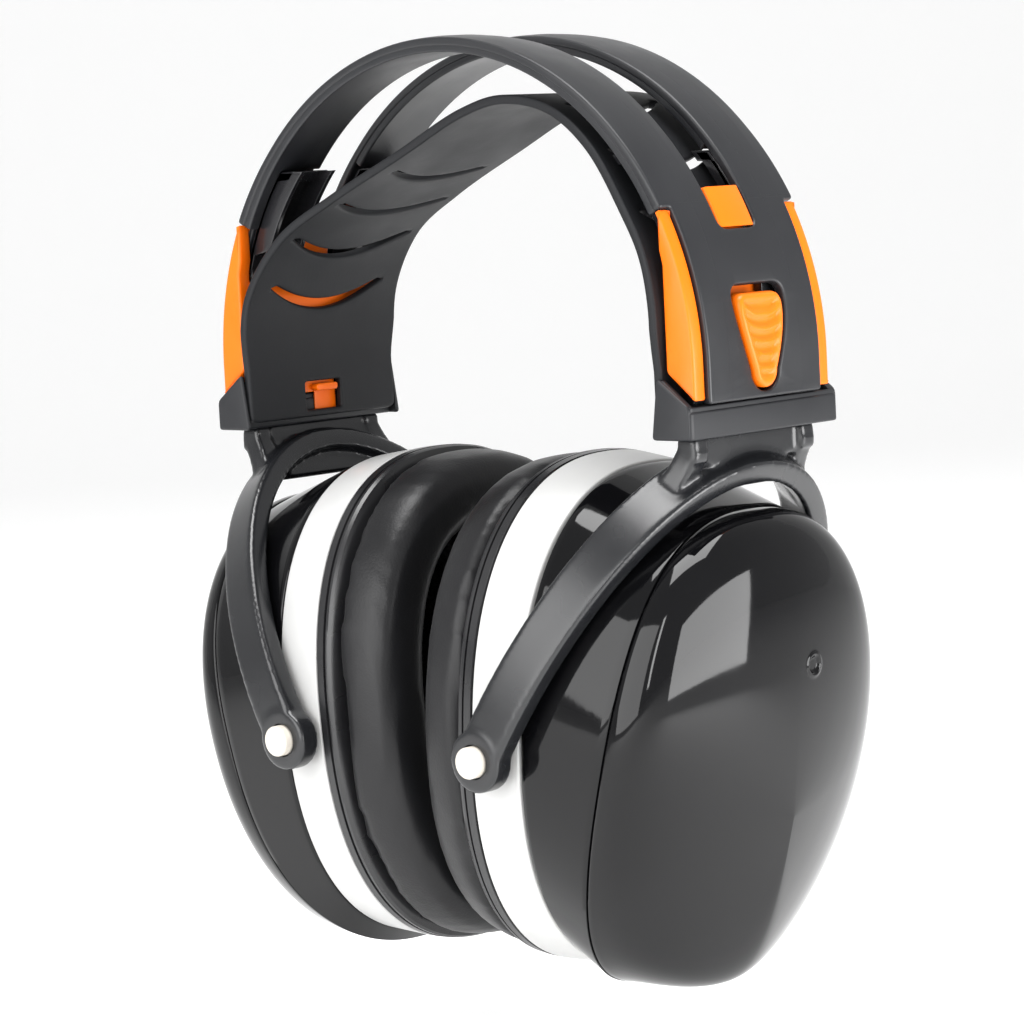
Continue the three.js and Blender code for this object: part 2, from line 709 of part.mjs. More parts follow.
// Joins rings into a closed solid. A run that has no apex closes on its own first ring.
function ringSolid(rings, segments) {
  const loop = [...rings, rings[0]];
  const places = loop.map((_, i) => new THREE.Vector2(1, i));
  const geometry = new THREE.LatheGeometry(places, segments);
  const spots = geometry.getAttribute("position");
  for (let i = 0; i < spots.count; i++) {
    const angle = Math.atan2(spots.getX(i), spots.getZ(i));
    spots.setXYZ(i, ...loop[Math.round(spots.getY(i))](angle));
  }
  return solid(geometry);
}

function makePivotRing() {
  const taper = 1.1; // the ring's outer edge is a little smaller than its inner edge
  const ring = ringSolid(
    [
      borderRing(RING_BACK, 0),
      borderRing(RING_FRONT, taper),
      borderRing(RING_FRONT, RING_WALL),
      borderRing(RING_BACK, RING_WALL),
    ],
    CUP_SEGMENTS,
  );
  const bore = PIN_RADIUS + PIN_CLEARANCE;
  return cut(
    ring,
    pivotCylinder(bore, PIN_INNER_Y - 3, PIN_OUTER_Y),
    pivotCylinder(bore, -PIN_OUTER_Y, -PIN_INNER_Y + 3),
  );
}

const makePin = (y0, y1) => pivotCylinder(PIN_RADIUS, y0, y1);

function makeCupBody() {
  return ringSolid([...run(bodyRing, 0, 1, 3, 0), ...run(bodyRing, 1, 0, 2, WALL)], CUP_SEGMENTS);
}

function makeDome() {
  const start = GAP / DOME_DEPTH;
  const rings = [...run(domeRing, start, 1, 10, 0), ...run(domeRing, 1, start, 8, WALL)];
  return ringSolid(rings, CUP_SEGMENTS);
}

function makeFoamLiner() {
  const outer = WALL + LINER_GAP;
  const inner = outer + LINER_THICKNESS;
  const reach = 0.55; // how far the liner goes into the dome
  return ringSolid(
    [
      bodyRing(0.15, outer),
      ...run(domeRing, 0, reach, 3, outer),
      ...run(domeRing, reach, 0, 3, inner),
      bodyRing(0.15, inner),
    ],
    28,
  );
}

function makeSealPlate() {
  const hole = PLATE_HOLE_INSET;
  return ringSolid(
    [
      borderRing(PLATE_BACK, 0.9),
      borderRing(PLATE_BACK + 1, 0),
      borderRing(PLATE_FRONT, 0),
      borderRing(PLATE_FRONT, hole),
      borderRing(PLATE_BACK, hole),
    ],
    CUP_SEGMENTS,
  );
}

// Half a pillow's section from the outer wall over the flat face to the inner wall, drawn in by an
// offset, apart from its open back.
function cushionRings(offset) {
  const back = CUSHION_BACK - (offset > COVER_THICKNESS ? GAP : 0);
  const depth = CUSHION_BACK - CUSHION_FACE - offset;
  const outer = CUSHION_OUTER_INSET + offset;
  const inner = CUSHION_INNER_INSET - offset;
  const shoulder = 4.4 - offset / 2;
  const at = (share, inset) => borderRing(CUSHION_BACK - depth * share, inset);
  return [
    borderRing(back, outer),
    at(0.55, outer),
    at(0.87, outer + shoulder / 3),
    at(1, outer + shoulder),
    at(1, inner - shoulder),
    at(0.87, inner - shoulder / 3),
    at(0.55, inner),
    borderRing(back, inner),
  ];
}

// The cushion's skin is open at the back, where its foam goes in.
function makeCushionCover() {
  return ringSolid([...cushionRings(0), ...cushionRings(COVER_THICKNESS).reverse()], 36);
}

function makeCushionFoam() {
  return ringSolid(cushionRings(COVER_THICKNESS + GAP), 28);
}

// ---- Materials ----------------------------------------------------------------------------------

const plastic = (color, roughness) => new THREE.MeshStandardMaterial({ color, roughness });
const materials = {
  band: plastic(0x2b2b2d, 0.55),
  strap: plastic(0x262628, 0.7),
  orange: plastic(0xf58a1c, 0.4),
  yoke: plastic(0x242426, 0.4),
  cup: plastic(0x0c0c0d, 0.08),
  ring: plastic(0xf2f2ee, 0.35),
  pin: plastic(0xf4f1e6, 0.4),
  plate: plastic(0x18181a, 0.35),
  leather: plastic(0x1a1a1c, 0.5),
  foam: plastic(0x3a3a3c, 0.95),
  steel: new THREE.MeshStandardMaterial({ color: 0xb8bcc0, metalness: 1, roughness: 0.3 }),
};

// ---- Assembly -----------------------------------------------------------------------------------

// Everything that belongs to one side, made for the right.
function makeSide(name) {
  const side = new THREE.Group();
  side.add(
    named(`collar_${name}`, makeCollar(), materials.band),
    named(`lock_housing_${name}`, makeLockHousing(), materials.orange),
    named(`guide_prong_${name}_front`, makeGuideProng(1), materials.band),
    named(`guide_prong_${name}_rear`, makeGuideProng(-1), materials.band),
    named(`release_button_${name}`, makeButton(), materials.orange),
    named(`button_spring_${name}`, makeButtonSpring(), materials.steel),
    named(`yoke_${name}`, makeYoke(), materials.yoke),
  );

  const pivots = new THREE.Group();
  pivots.position.x = PIVOT_X;
  pivots.rotation.y = CUP_LEAN;
  pivots.add(
    named(`pivot_pin_${name}_front`, makePin(PIN_INNER_Y, PIN_OUTER_Y), materials.pin),
    named(`pivot_pin_${name}_rear`, makePin(-PIN_OUTER_Y, -PIN_INNER_Y), materials.pin),
    named(`pivot_ring_${name}`, makePivotRing(), materials.ring),
    named(`cup_body_${name}`, makeCupBody(), materials.cup),
    named(`cup_dome_${name}`, makeDome(), materials.cup),
    named(`foam_liner_${name}`, makeFoamLiner(), materials.foam),
    named(`seal_plate_${name}`, makeSealPlate(), materials.plate),
    named(`cushion_cover_${name}`, makeCushionCover(), materials.leather),
    named(`cushion_foam_${name}`, makeCushionFoam(), materials.foam),
  );
  side.add(pivots);
  return side;
}

const right = makeSide("right");
const left = makeSide("left");
left.scale.x = -1;

const earmuff = new THREE.Group();
earmuff.add(
  named("headband_hoop", makeHoop(), materials.band),
  named("inner_strap", makeStrap(), materials.strap),
  right,
  left,
);

export default earmuff;
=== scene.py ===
"""Looks of an over-ear hearing protector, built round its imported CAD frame. Lengths are in millimetres
until mesh_object() turns them into metres."""

import math
from contextlib import contextmanager

import bmesh
import bpy
import numpy as np
from mathutils import Matrix, Vector
from mathutils.geometry import tessellate_polygon


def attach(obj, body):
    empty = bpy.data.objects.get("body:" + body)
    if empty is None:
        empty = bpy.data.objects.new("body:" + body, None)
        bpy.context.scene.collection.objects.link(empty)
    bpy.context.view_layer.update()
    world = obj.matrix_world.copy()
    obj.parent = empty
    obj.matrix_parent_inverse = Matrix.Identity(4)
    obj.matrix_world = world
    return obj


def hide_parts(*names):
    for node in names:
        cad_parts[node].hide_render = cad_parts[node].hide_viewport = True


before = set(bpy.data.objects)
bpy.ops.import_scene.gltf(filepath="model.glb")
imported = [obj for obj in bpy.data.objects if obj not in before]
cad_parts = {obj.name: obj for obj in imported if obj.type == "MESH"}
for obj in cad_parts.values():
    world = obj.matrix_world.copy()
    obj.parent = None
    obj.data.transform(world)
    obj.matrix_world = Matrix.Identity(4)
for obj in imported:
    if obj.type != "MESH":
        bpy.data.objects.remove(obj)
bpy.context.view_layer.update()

MM = 0.001
SIDES = {"right": 1, "left": -1}

# ---- Sizes shared with the CAD part ----

HOOP_CENTRE_Z = 78.4
HOOP_RADIUS = 70.0
HOOP_HALF_WIDTH = 21.5
HOOP_BOTTOM_Z = 70.9
HOOP_SLOT_HALF_WIDTH = 6.0
HOOP_SLOT_BOTTOM_Z = 105.5
HOOP_PLATE_THICKNESS = 2.3
HOOP_RAIL_THICKNESS = 4.4
HOOP_CROWN_THICKNESS = 3.6
WINDOW_TOP_Z = 94.2
WINDOW_BOTTOM_Z = 72.2
WINDOW_TOP_HALF_WIDTH = 8.4
WINDOW_FOOT_RADIUS = 4.6
HOOP_CHANNEL_END_Z = 124.0
CHEEK_RADIUS = HOOP_RADIUS - 0.9
CHEEK_INNER_Y = 18.5
CHEEK_OUTER_Y = 22.0
CHEEK_NOTCH_TOP_Z = 110.6
STRAP_THICKNESS = 2.0
STRAP_LEG_HALF_WIDTH = 24.0
STRAP_CROWN_HALF_WIDTH = 19.0
STRAP_BOTTOM_Z = 65.4
STRAP_FOOT_HALF_WIDTH = 22.9
STRAP_FOOT_TOP_Z = 78.0
STRAP_LEG_X = 60.3
STRAP_POINTS = [
    (-STRAP_LEG_X, STRAP_BOTTOM_Z), (-STRAP_LEG_X, 82), (-58, 94), (-48.4, 106.5), (-33, 115),
    (-12.4, 124), (6, 131.8), (17.7, 134), (31.5, 131.4), (43, 123.4), (52.6, 110.4), (58, 101),
    (60.2, 91), (60.2, 80), (STRAP_LEG_X, STRAP_BOTTOM_Z),
]
SLITS = [(31, 17.5, 6), (45.5, 18.5, 7), (61, 17, 6.5), (77, 14.5, 5.5)]
SLIT_WIDTH = 2.3
COLLAR_INNER_X = 61.7
COLLAR_OUTER_X = 69.5
COLLAR_HALF_WIDTH = 24.2
COLLAR_FLANGE_X = 59.2
COLLAR_EAR_TOP_Z = 76.6
COLLAR_BOTTOM_Z = 64.0
COLLAR_TOP_Z = 70.6
PASSAGE_INNER_X = 62.6
PASSAGE_OUTER_X = 65.1
PASSAGE_HALF_WIDTH = 17.5
FLOOR_INNER_X = 61.6
FLOOR_OUTER_X = 62.5
FLOOR_HALF_WIDTH = 19.0
FLOOR_BOTTOM_Z = 78.0
FLOOR_TOP_Z = 97.0
TAB_HALF_WIDTH = 5.5
HOOK_BOTTOM_Z = 71.2
HOOK_TOP_Z = 72.8
PRONG_OUTER_RADIUS = 67.3
PRONG_INNER_RADIUS = 65.8
PRONG_INNER_Y = 7.2
PRONG_OUTER_Y = 17.8
PRONG_BOTTOM_Z = 97.5
PRONG_TOP_Z = 121.4
BUTTON_BACK_X = 66.4
BUTTON_FACE_RADIUS = 70.9
STEM_INNER_X = 62.9
STEM_OUTER_X = 64.8
STEM_HALF_WIDTH = 17.2
STEM_BOTTOM_Z = 62.8
STEM_TOP_Z = 95.0
FORK_HALF_WIDTH = 6.2
FORK_BOTTOM_Z = 77.0
NOTCH_TOP_Z = 92.0
NOTCH_PITCH = 3.0
NOTCH_COUNT = 4
NOTCH_DEPTH = 1.0
PIVOT_X = 28.3
ARCH_LEAN = math.radians(31)
ARCH_HALF_WIDTH = 48.5
ARCH_HEIGHT = 70.0
ARCH_THICKNESS = 5.0
ARCH_STRIP_WIDTH = 10.8
EYE_RADIUS = 6.6
PIN_RADIUS = 3.3
PIN_INNER_Y = 39.3
PIN_OUTER_Y = 50.6
BORE_RADIUS = 3.65
CUP_LEAN = math.radians(3.4)
CUP_HALF_WIDTH = 42.5
CUP_TOP = 58.8
CUP_BOTTOM = -51.2
CUP_EXPONENT = 2.33
CUSHION_FACE = -25.1
CUSHION_BACK = -11.1
PLATE_BACK = -10.8
PLATE_FRONT = -6.3
RING_BACK = -6.0
RING_FRONT = 6.0
BODY_BACK = 6.3
BODY_INSET = 1.2
SEAM_X = 20.9
SEAM_Z = -1.6
SEAM_LEAN = math.radians(11.6)
SEAM_HALF_WIDTH = 40.0
SEAM_HALF_HEIGHT = 52.4
SEAM_BOW = 5.5
SEAM_EXPONENT = 2.42
DOME_DEPTH = 25.8
DOME_SHOULDER = 3.0
DOME_TAPER = 1.1
DOME_CHIN = 2.6
DOME_RISE = 8.4
DOME_FALL = 15.0
DOME_ROUNDING = 0.7


# ---- Mesh tools ----


def mesh_object(name, points, faces, sharp=35):
    """An object from points in millimetres, smooth apart from edges sharper than the angle given."""
    mesh = bpy.data.meshes.new(name)
    mesh.from_pydata([tuple(float(c) * MM for c in p) for p in points], [], faces)
    mesh.validate()
    tidy(mesh)
    shade(mesh, sharp)
    return add_object(name, mesh)


def add_object(name, data):
    obj = bpy.data.objects.new(name, data)
    bpy.context.collection.objects.link(obj)
    return obj


@contextmanager
def edited(mesh):
    """A bmesh of the mesh, written back when the block ends."""
    bm = bmesh.new()
    bm.from_mesh(mesh)
    yield bm
    bm.to_mesh(mesh)
    bm.free()


def tidy(mesh):
    """Merges doubled points and turns all faces outwards."""
    with edited(mesh) as bm:
        bmesh.ops.remove_doubles(bm, verts=bm.verts, dist=0.00001)
        bmesh.ops.recalc_face_normals(bm, faces=bm.faces)


def shade(mesh, sharp=35):
    mesh.shade_smooth()
    mesh.set_sharp_from_angle(angle=math.radians(sharp))


def finish_piece(obj, piece, body, material, nodes=()):
    """Gives a piece its name, body and material. It stands for the CAD node of its own name,
    unless other nodes are given."""
    obj.name = f"{piece}_look"
    obj.data.materials.clear()
    obj.data.materials.append(MATERIALS[material])
    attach(obj, body)
    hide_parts(*(nodes or [piece]))
    return obj


def discard(obj):
    mesh = obj.data
    bpy.data.objects.remove(obj)
    bpy.data.meshes.remove(mesh)


def join_objects(first, *others):
    """Joins objects into the first, keeping each as a shell of the same mesh."""
    bm = bmesh.new()
    for obj in (first, *others):
        bm.from_mesh(obj.data)
    bm.to_mesh(first.data)
    bm.free()
    for obj in others:
        discard(obj)
    shade(first.data)
    return first


def loft(name, rings, cap=False, closed=False, sharp=35):
    """A skin over rings of equal length; cap closes the last ring with a point."""
    count = len(rings[0])
    points = [p for ring in rings for p in ring]
    faces = []
    spans = len(rings) if closed else len(rings) - 1
    for i in range(spans):
        low, high = i * count, ((i + 1) % len(rings)) * count
        for j in range(count):
            k = (j + 1) % count
            faces.append((low + j, low + k, high + k, high + j))
    if cap:
        points.append(np.mean(rings[-1], axis=0))
        last = (len(rings) - 1) * count
        faces += [(last + j, last + (j + 1) % count, len(points) - 1) for j in range(count)]
    return mesh_object(name, points, faces, sharp)


def smooth_path(points, spacing=0.5):
    """A centripetal Catmull-Rom curve through 2-D points, resampled at an even spacing."""
    pts = [np.array(p, float) for p in points]
    pts = [2 * pts[0] - pts[1], *pts, 2 * pts[-1] - pts[-2]]
    out = []
    for a, b, c, d in zip(pts, pts[1:], pts[2:], pts[3:]):
        t0 = 0.0
        t1 = t0 + np.linalg.norm(b - a) ** 0.5
        t2 = t1 + np.linalg.norm(c - b) ** 0.5
        t3 = t2 + np.linalg.norm(d - c) ** 0.5
        for t in np.linspace(t1, t2, 60, endpoint=False):
            p = (t1 - t) / (t1 - t0) * a + (t - t0) / (t1 - t0) * b
            q = (t2 - t) / (t2 - t1) * b + (t - t1) / (t2 - t1) * c
            r = (t3 - t) / (t3 - t2) * c + (t - t2) / (t3 - t2) * d
            s = (t2 - t) / (t2 - t0) * p + (t - t0) / (t2 - t0) * q
            u = (t3 - t) / (t3 - t1) * q + (t - t1) / (t3 - t1) * r
            out.append((t2 - t) / (t2 - t1) * s + (t - t1) / (t2 - t1) * u)
    return even_path(np.array([*out, pts[-2]]), spacing)


def even_path(points, spacing=0.5):
    steps = np.linalg.norm(np.diff(points, axis=0), axis=1)
    run = np.concatenate([[0], np.cumsum(steps)])
    places = np.linspace(0, run[-1], int(run[-1] / spacing) + 1)
    return places, np.stack([np.interp(places, run, points[:, i]) for i in (0, 1)], axis=1)


class Path:
    """A path in a plane: where a distance along it lies, and which way is square to it."""

    def __init__(self, places, points):
        self.places = places
        self.points = points
        self.length = places[-1]
        slopes = np.gradient(points, places, axis=0)
        self.slopes = slopes / np.linalg.norm(slopes, axis=1)[:, None]

    def at(self, distance, height=0.0):
        point = [np.interp(distance, self.places, self.points[:, i]) for i in (0, 1)]
        slope = [np.interp(distance, self.places, self.slopes[:, i]) for i in (0, 1)]
        if distance > self.length:
            point = [p + s * (distance - self.length) for p, s in zip(point, slope)]
        if distance < 0:
            point = [p + s * distance for p, s in zip(point, slope)]
        return point[0] - slope[1] * height, point[1] + slope[0] * height


def arc_points(centre, radius, start, end, count):
    angles = np.radians(np.linspace(start, end, count))
    return [(centre[0] + radius * math.cos(a), centre[1] + radius * math.sin(a)) for a in angles]


def rounded(outline, radius, steps=5):
    """The outline with each corner replaced by a small curve."""
    out = []
    count = len(outline)
    for i in range(count):
        before, here, after = (np.array(outline[(i + k) % count], float) for k in (-1, 0, 1))
        reach = min(radius, 0.45 * np.linalg.norm(before - here), 0.45 * np.linalg.norm(after - here))
        start = here + (before - here) / np.linalg.norm(before - here) * reach
        end = here + (after - here) / np.linalg.norm(after - here) * reach
        for t in np.linspace(0, 1, steps):
            point = (1 - t) ** 2 * start + 2 * t * (1 - t) * here + t * t * end
            out.append(tuple(point))
    return out


def leg_x(radius, z):
    rise = max(0.0, z - HOOP_CENTRE_Z)
    return math.sqrt(radius * radius - rise * rise)


def leg_curve(radius, z0, z1, count):
    return [(leg_x(radius, z), z) for z in np.linspace(z0, z1, count)]


def turned(a, b, angle):
    """The pair (a, b) turned by an angle, from b towards a."""
    sine, cosine = math.sin(angle), math.cos(angle)
    return a * cosine + b * sine, b * cosine - a * sine


def oval(value, exponent):
    return np.sign(value) * np.abs(value) ** (2 / exponent)


# ---- Plates: outlines with thickness and rounded rims ----


def signed_area(loop):
    return 0.5 * sum(a[0] * b[1] - b[0] * a[1] for a, b in zip(loop, [*loop[1:], loop[0]]))


def drawn_in(loop, distance):
    """The loop moved to its left by a distance, corner by corner."""
    out = []
    count = len(loop)
    for i in range(count):
        before, here, after = (Vector(loop[(i + k) % count]) for k in (-1, 0, 1))
        first = (here - before).normalized()
        second = (after - here).normalized()
        normal = Vector((-first.y - second.y, first.x + second.x))
        if normal.length < 1e-6:
            normal = Vector((-first.y, first.x))
        normal.normalize()
        lean = max(0.5, normal.dot(Vector((-first.y, first.x))))
        out.append(tuple(here + normal * (distance / lean)))
    return out


def plate(outline, holes, thickness, edge, steps=()):
    """A flat plate drawn by outlines (u, v), its middle at height 0 and its rims rounded. It is cut
    along the lines u = each of steps, so that it can be bent there. Returns a mesh in millimetres."""
    loops = []
    for i, loop in enumerate([outline, *holes]):
        loop = [tuple(float(c) for c in p) for p in loop]
        if (signed_area(loop) > 0) != (i == 0):
            loop.reverse()
        loops.append(loop)
    half = thickness / 2
    profile = [(edge * (1 - math.sin(a)), -half + edge * (1 - math.cos(a)))
               for a in np.linspace(0, math.pi / 2, 4)]
    profile += [(inset, -height) for inset, height in reversed(profile)]
    bm = bmesh.new()
    rims = {0: [], len(profile) - 1: []}
    for loop in loops:
        rings = []
        for k, (inset, height) in enumerate(profile):
            ring = [bm.verts.new((u, v, height)) for u, v in drawn_in(loop, inset)]
            rings.append(ring)
            if k in rims:
                rims[k].append(ring)
        for low, high in zip(rings, rings[1:]):
            for j in range(len(low)):
                k = (j + 1) % len(low)
                bm.faces.new((low[j], low[k], high[k], high[j]))
    for rings in rims.values():
        corners = [vertex for ring in rings for vertex in ring]
        triangles = tessellate_polygon([[vertex.co.copy() for vertex in ring] for ring in rings])
        for triangle in triangles:
            try:
                bm.faces.new([corners[i] for i in triangle])
            except ValueError:
                continue
    for value in steps:
        geometry = bm.verts[:] + bm.edges[:] + bm.faces[:]
        bmesh.ops.bisect_plane(
            bm, geom=geometry, plane_co=(value, 0, 0), plane_no=(1, 0, 0), dist=0.0005
        )
    mesh = bpy.data.meshes.new("plate")
    bm.to_mesh(mesh)
    bm.free()
    return mesh


def bent(name, mesh, place, sharp=35):
    """An object from a flat mesh, each point moved by place(u, v, height), all in millimetres."""
    for vertex in mesh.vertices:
        vertex.co = Vector(place(*vertex.co)) * MM
    tidy(mesh)
    shade(mesh, sharp)
    return add_object(name, mesh)


def side_prism(outline, y0, y1, side, edge=0.4):
    """The outline (x, z), seen from the side, as a rounded plate between y0 and y1."""
    middle = (y0 + y1) / 2
    flat = plate(outline, (), abs(y1 - y0), edge)
    return bent("prism", flat, lambda u, v, h: (side * u, middle + h, v))


def front_prism(outline, x0, x1, side, holes=(), edge=0.4):
    """The outline (y, z), seen along X, as a rounded plate from x0 to x1."""
    middle = (x0 + x1) / 2
    flat = plate(outline, holes, x1 - x0, edge)
    return bent("prism", flat, lambda u, v, h: (side * (middle + h), u, v))


def plan_prism(outline, z0, z1, side, holes=(), edge=0.4):
    """The outline (x, y), seen from above, as a rounded plate from z0 to z1."""
    middle = (z0 + z1) / 2
    flat = plate(outline, holes, z1 - z0, edge)
    return bent("prism", flat, lambda u, v, h: (side * u, v, middle + h))


def rectangle(u0, u1, v0, v1, corner=0.8):
    return rounded([(u0, v0), (u1, v0), (u1, v1), (u0, v1)], corner)


# ---- Headband hoop ----

BEND_STEP = 2.0


def hoop_place(distance, height):
    """A point on the hoop: distance along its outer face from the crown, height above that face."""
    quarter = HOOP_RADIUS * math.pi / 2
    turn = max(-quarter, min(quarter, distance)) / HOOP_RADIUS
    drop = abs(distance) - quarter if abs(distance) > quarter else 0
    radius = HOOP_RADIUS + height
    return radius * math.sin(turn), HOOP_CENTRE_Z + radius * math.cos(turn) - drop


def hoop_distance(z):
    if z < HOOP_CENTRE_Z:
        return HOOP_RADIUS * math.pi / 2 + HOOP_CENTRE_Z - z
    return HOOP_RADIUS * math.acos((z - HOOP_CENTRE_Z) / HOOP_RADIUS)


def teardrop(inset=0.0, steps=10):
    """The outline (y, z) of the button window: wide round top, narrow round foot."""
    half = WINDOW_TOP_HALF_WIDTH - inset
    foot = WINDOW_FOOT_RADIUS - inset
    top = WINDOW_TOP_Z - inset
    foot_z = WINDOW_BOTTOM_Z + WINDOW_FOOT_RADIUS
    corner = 3

    def quad(a, b, c):
        return [
            tuple((1 - t) ** 2 * np.array(a) + 2 * t * (1 - t) * np.array(b) + t * t * np.array(c))
            for t in np.linspace(0, 1, steps, endpoint=False)
        ]

    return [
        *quad((-half + corner, top), (-half, top), (-half, top - corner)),
        *quad((-half, top - corner), (-half, top - 2.5 * corner), (-foot, foot_z)),
        *arc_points((0, foot_z), foot, 180, 360, 14)[:-1],
        *quad((foot, foot_z), (half, top - 2.5 * corner), (half, top - corner)),
        *quad((half, top - corner), (half, top), (half - corner, top)),
        (half - corner, top),
    ]


def make_hoop():
    foot = hoop_distance(HOOP_BOTTOM_Z)
    cheek_top = hoop_distance(CHEEK_NOTCH_TOP_Z)
    slot_end = hoop_distance(HOOP_SLOT_BOTTOM_Z)
    channel_end = hoop_distance(HOOP_CHANNEL_END_Z)
    narrow = CHEEK_INNER_Y - 0.3
    wide = HOOP_HALF_WIDTH
    outline = [
        (-foot, -narrow), (-cheek_top, -narrow), (-cheek_top, -wide), (cheek_top, -wide),
        (cheek_top, -narrow), (foot, -narrow), (foot, narrow), (cheek_top, narrow),
        (cheek_top, wide), (-cheek_top, wide), (-cheek_top, narrow), (-foot, narrow),
    ]
    slot = rectangle(-slot_end, slot_end, -HOOP_SLOT_HALF_WIDTH, HOOP_SLOT_HALF_WIDTH, 2.5)
    windows = [[(side * hoop_distance(z), y) for y, z in teardrop()] for side in (1, -1)]
    steps = np.arange(-foot + 1, foot, BEND_STEP)
    middle = (HOOP_HALF_WIDTH + HOOP_SLOT_HALF_WIDTH) / 2
    half_rail = HOOP_HALF_WIDTH - middle

    def outer_place(u, v, h):
        crown = max(0.0, min(1.0, (slot_end - abs(u)) / 25))
        bulge = 0.5 * crown * min(1.0, ((abs(v) - middle) / half_rail) ** 2)
        x, z = hoop_place(u, h - HOOP_PLATE_THICKNESS / 2 - (bulge if h > 0 else 0))
        return x, v, z

    outer = bent(
        "hoop",
        plate(rounded(outline, 0.8, 4), [slot, *windows], HOOP_PLATE_THICKNESS, 0.55, steps),
        outer_place,
    )

    def inner_place(u, v, h):
        turn = min(1.0, abs(u) / (HOOP_RADIUS * math.pi / 2))
        thickness = HOOP_CROWN_THICKNESS + (HOOP_RAIL_THICKNESS - HOOP_CROWN_THICKNESS) * turn**2
        share = h + 0.5
        depth = HOOP_PLATE_THICKNESS - 0.8 + (thickness - HOOP_PLATE_THICKNESS + 0.8) * (1 - share)
        x, z = hoop_place(u, -depth)
        return x, v, z

    rails = []
    for front in (1, -1):
        rim, inner = front * (wide - 0.25), front * (HOOP_SLOT_HALF_WIDTH + 0.25)
        rail = [
            (-channel_end, inner), (channel_end, inner), (channel_end, front * narrow),
            (cheek_top, front * narrow), (cheek_top, rim), (-cheek_top, rim),
            (-cheek_top, front * narrow), (-channel_end, front * narrow),
        ]
        rails.append(bent("rail", plate(rounded(rail, 0.6, 4), (), 1.0, 0.3, steps), inner_place))
    hoop = join_objects(outer, *rails)
    return finish_piece(hoop, "headband_hoop", "headband", "hoop")


# ---- Inner strap ----


def strap_half_width(x):
    narrowing = 1 - min(1.0, abs(x) / STRAP_LEG_X) ** 2.4
    return STRAP_LEG_HALF_WIDTH - (STRAP_LEG_HALF_WIDTH - STRAP_CROWN_HALF_WIDTH) * narrowing


def crescent(place, half_length, sag, toward):
    """A slit (along, across) that bulges towards the strap's lower end, with rounded tips."""
    low = []
    high = []
    for t in np.linspace(-1, 1, 25):
        bow = 1 - t * t
        low.append((place + toward * (-sag * bow), half_length * t))
        blunt = 1.5 * (1 - t**16) ** 0.5
        high.append((place + toward * (-sag * bow + blunt + (SLIT_WIDTH - 1.5) * bow), half_length * t))
    return [*low, *reversed(high)]


def make_strap():
    path = Path(*smooth_path(STRAP_POINTS))
    length = path.length
    edge = []
    for place in np.linspace(0, length, 120):
        x, z = path.at(place)
        foot = max(0.0, min(1.0, (STRAP_FOOT_TOP_Z + 8 - z) / 8))
        edge.append((place, strap_half_width(x) * (1 - foot) + STRAP_FOOT_HALF_WIDTH * foot))
    outline = [*edge, *[(u, -v) for u, v in reversed(edge)]]
    holes = []
    for toward, at in ((1, lambda d: d), (-1, lambda d: length - d)):
        for distance, half_length, sag in SLITS:
            holes.append(crescent(at(distance), half_length, sag, toward))
        low, high = sorted((at(1.6), at(8.1)))
        holes.append(rectangle(low, high, -TAB_HALF_WIDTH, TAB_HALF_WIDTH))

    def place(u, v, h):
        x, z = path.at(u, h)
        return x, v, z

    mesh = plate(rounded_ends(outline, 3.0), holes, STRAP_THICKNESS, 0.6, np.arange(1, length, 1.6))
    strap = bent("strap", mesh, place, 40)
    return finish_piece(strap, "inner_strap", "headband", "strap")


def rounded_ends(outline, radius):
    """The outline with only its four real corners rounded."""
    count = len(outline)
    out = []
    for i in range(count):
        before, here, after = (Vector(outline[(i + k) % count]) for k in (-1, 0, 1))
        if (here - before).angle(after - here) < math.radians(50):
            out.append(tuple(here))
            continue
        start = here + (before - here).normalized() * min(radius, (before - here).length * 0.9)
        end = here + (after - here).normalized() * min(radius, (after - here).length * 0.9)
        for t in np.linspace(0, 1, 8):
            out.append(tuple((1 - t) ** 2 * start + 2 * t * (1 - t) * here + t * t * end))
    return out


# ---- Collar, lock housing, prongs and button ----


def make_collar(name, side):
    end = COLLAR_HALF_WIDTH
    passage = rectangle(
        PASSAGE_INNER_X, PASSAGE_OUTER_X, -PASSAGE_HALF_WIDTH, PASSAGE_HALF_WIDTH, 0.2
    )
    block = plan_prism(
        rectangle(COLLAR_INNER_X, COLLAR_OUTER_X, -end + 0.1, end - 0.1, 1.2),
        COLLAR_BOTTOM_Z, COLLAR_TOP_Z - 0.9, side, [passage], 0.5,
    )
    ledge = plan_prism(
        rectangle(COLLAR_INNER_X + 0.3, COLLAR_OUTER_X - 0.45, -end + 0.5, end - 0.5, 1.0),
        COLLAR_TOP_Z - 1.2, COLLAR_TOP_Z, side, [passage], 0.25,
    )
    cheek_cover = rounded([
        (COLLAR_FLANGE_X, COLLAR_BOTTOM_Z), (COLLAR_OUTER_X - 0.4, COLLAR_BOTTOM_Z),
        (COLLAR_OUTER_X - 0.4, COLLAR_TOP_Z), (COLLAR_INNER_X - 0.7, COLLAR_EAR_TOP_Z),
    ], 1.0)
    ears = [side_prism(cheek_cover, f * (end - 1), f * end, side, 0.45) for f in (1, -1)]
    lugs = rounded([
        (COLLAR_INNER_X, COLLAR_BOTTOM_Z + 1), (COLLAR_OUTER_X - 0.6, COLLAR_BOTTOM_Z + 1),
        (COLLAR_OUTER_X - 0.6, COLLAR_TOP_Z), (COLLAR_INNER_X, COLLAR_EAR_TOP_Z - 0.3),
    ], 0.8)
    ears += [side_prism(lugs, f * (end - 1.9), f * (end - 0.6), side, 0.3) for f in (1, -1)]
    collar = join_objects(block, ledge, *ears)
    return finish_piece(collar, f"collar_{name}", "headband", "band")


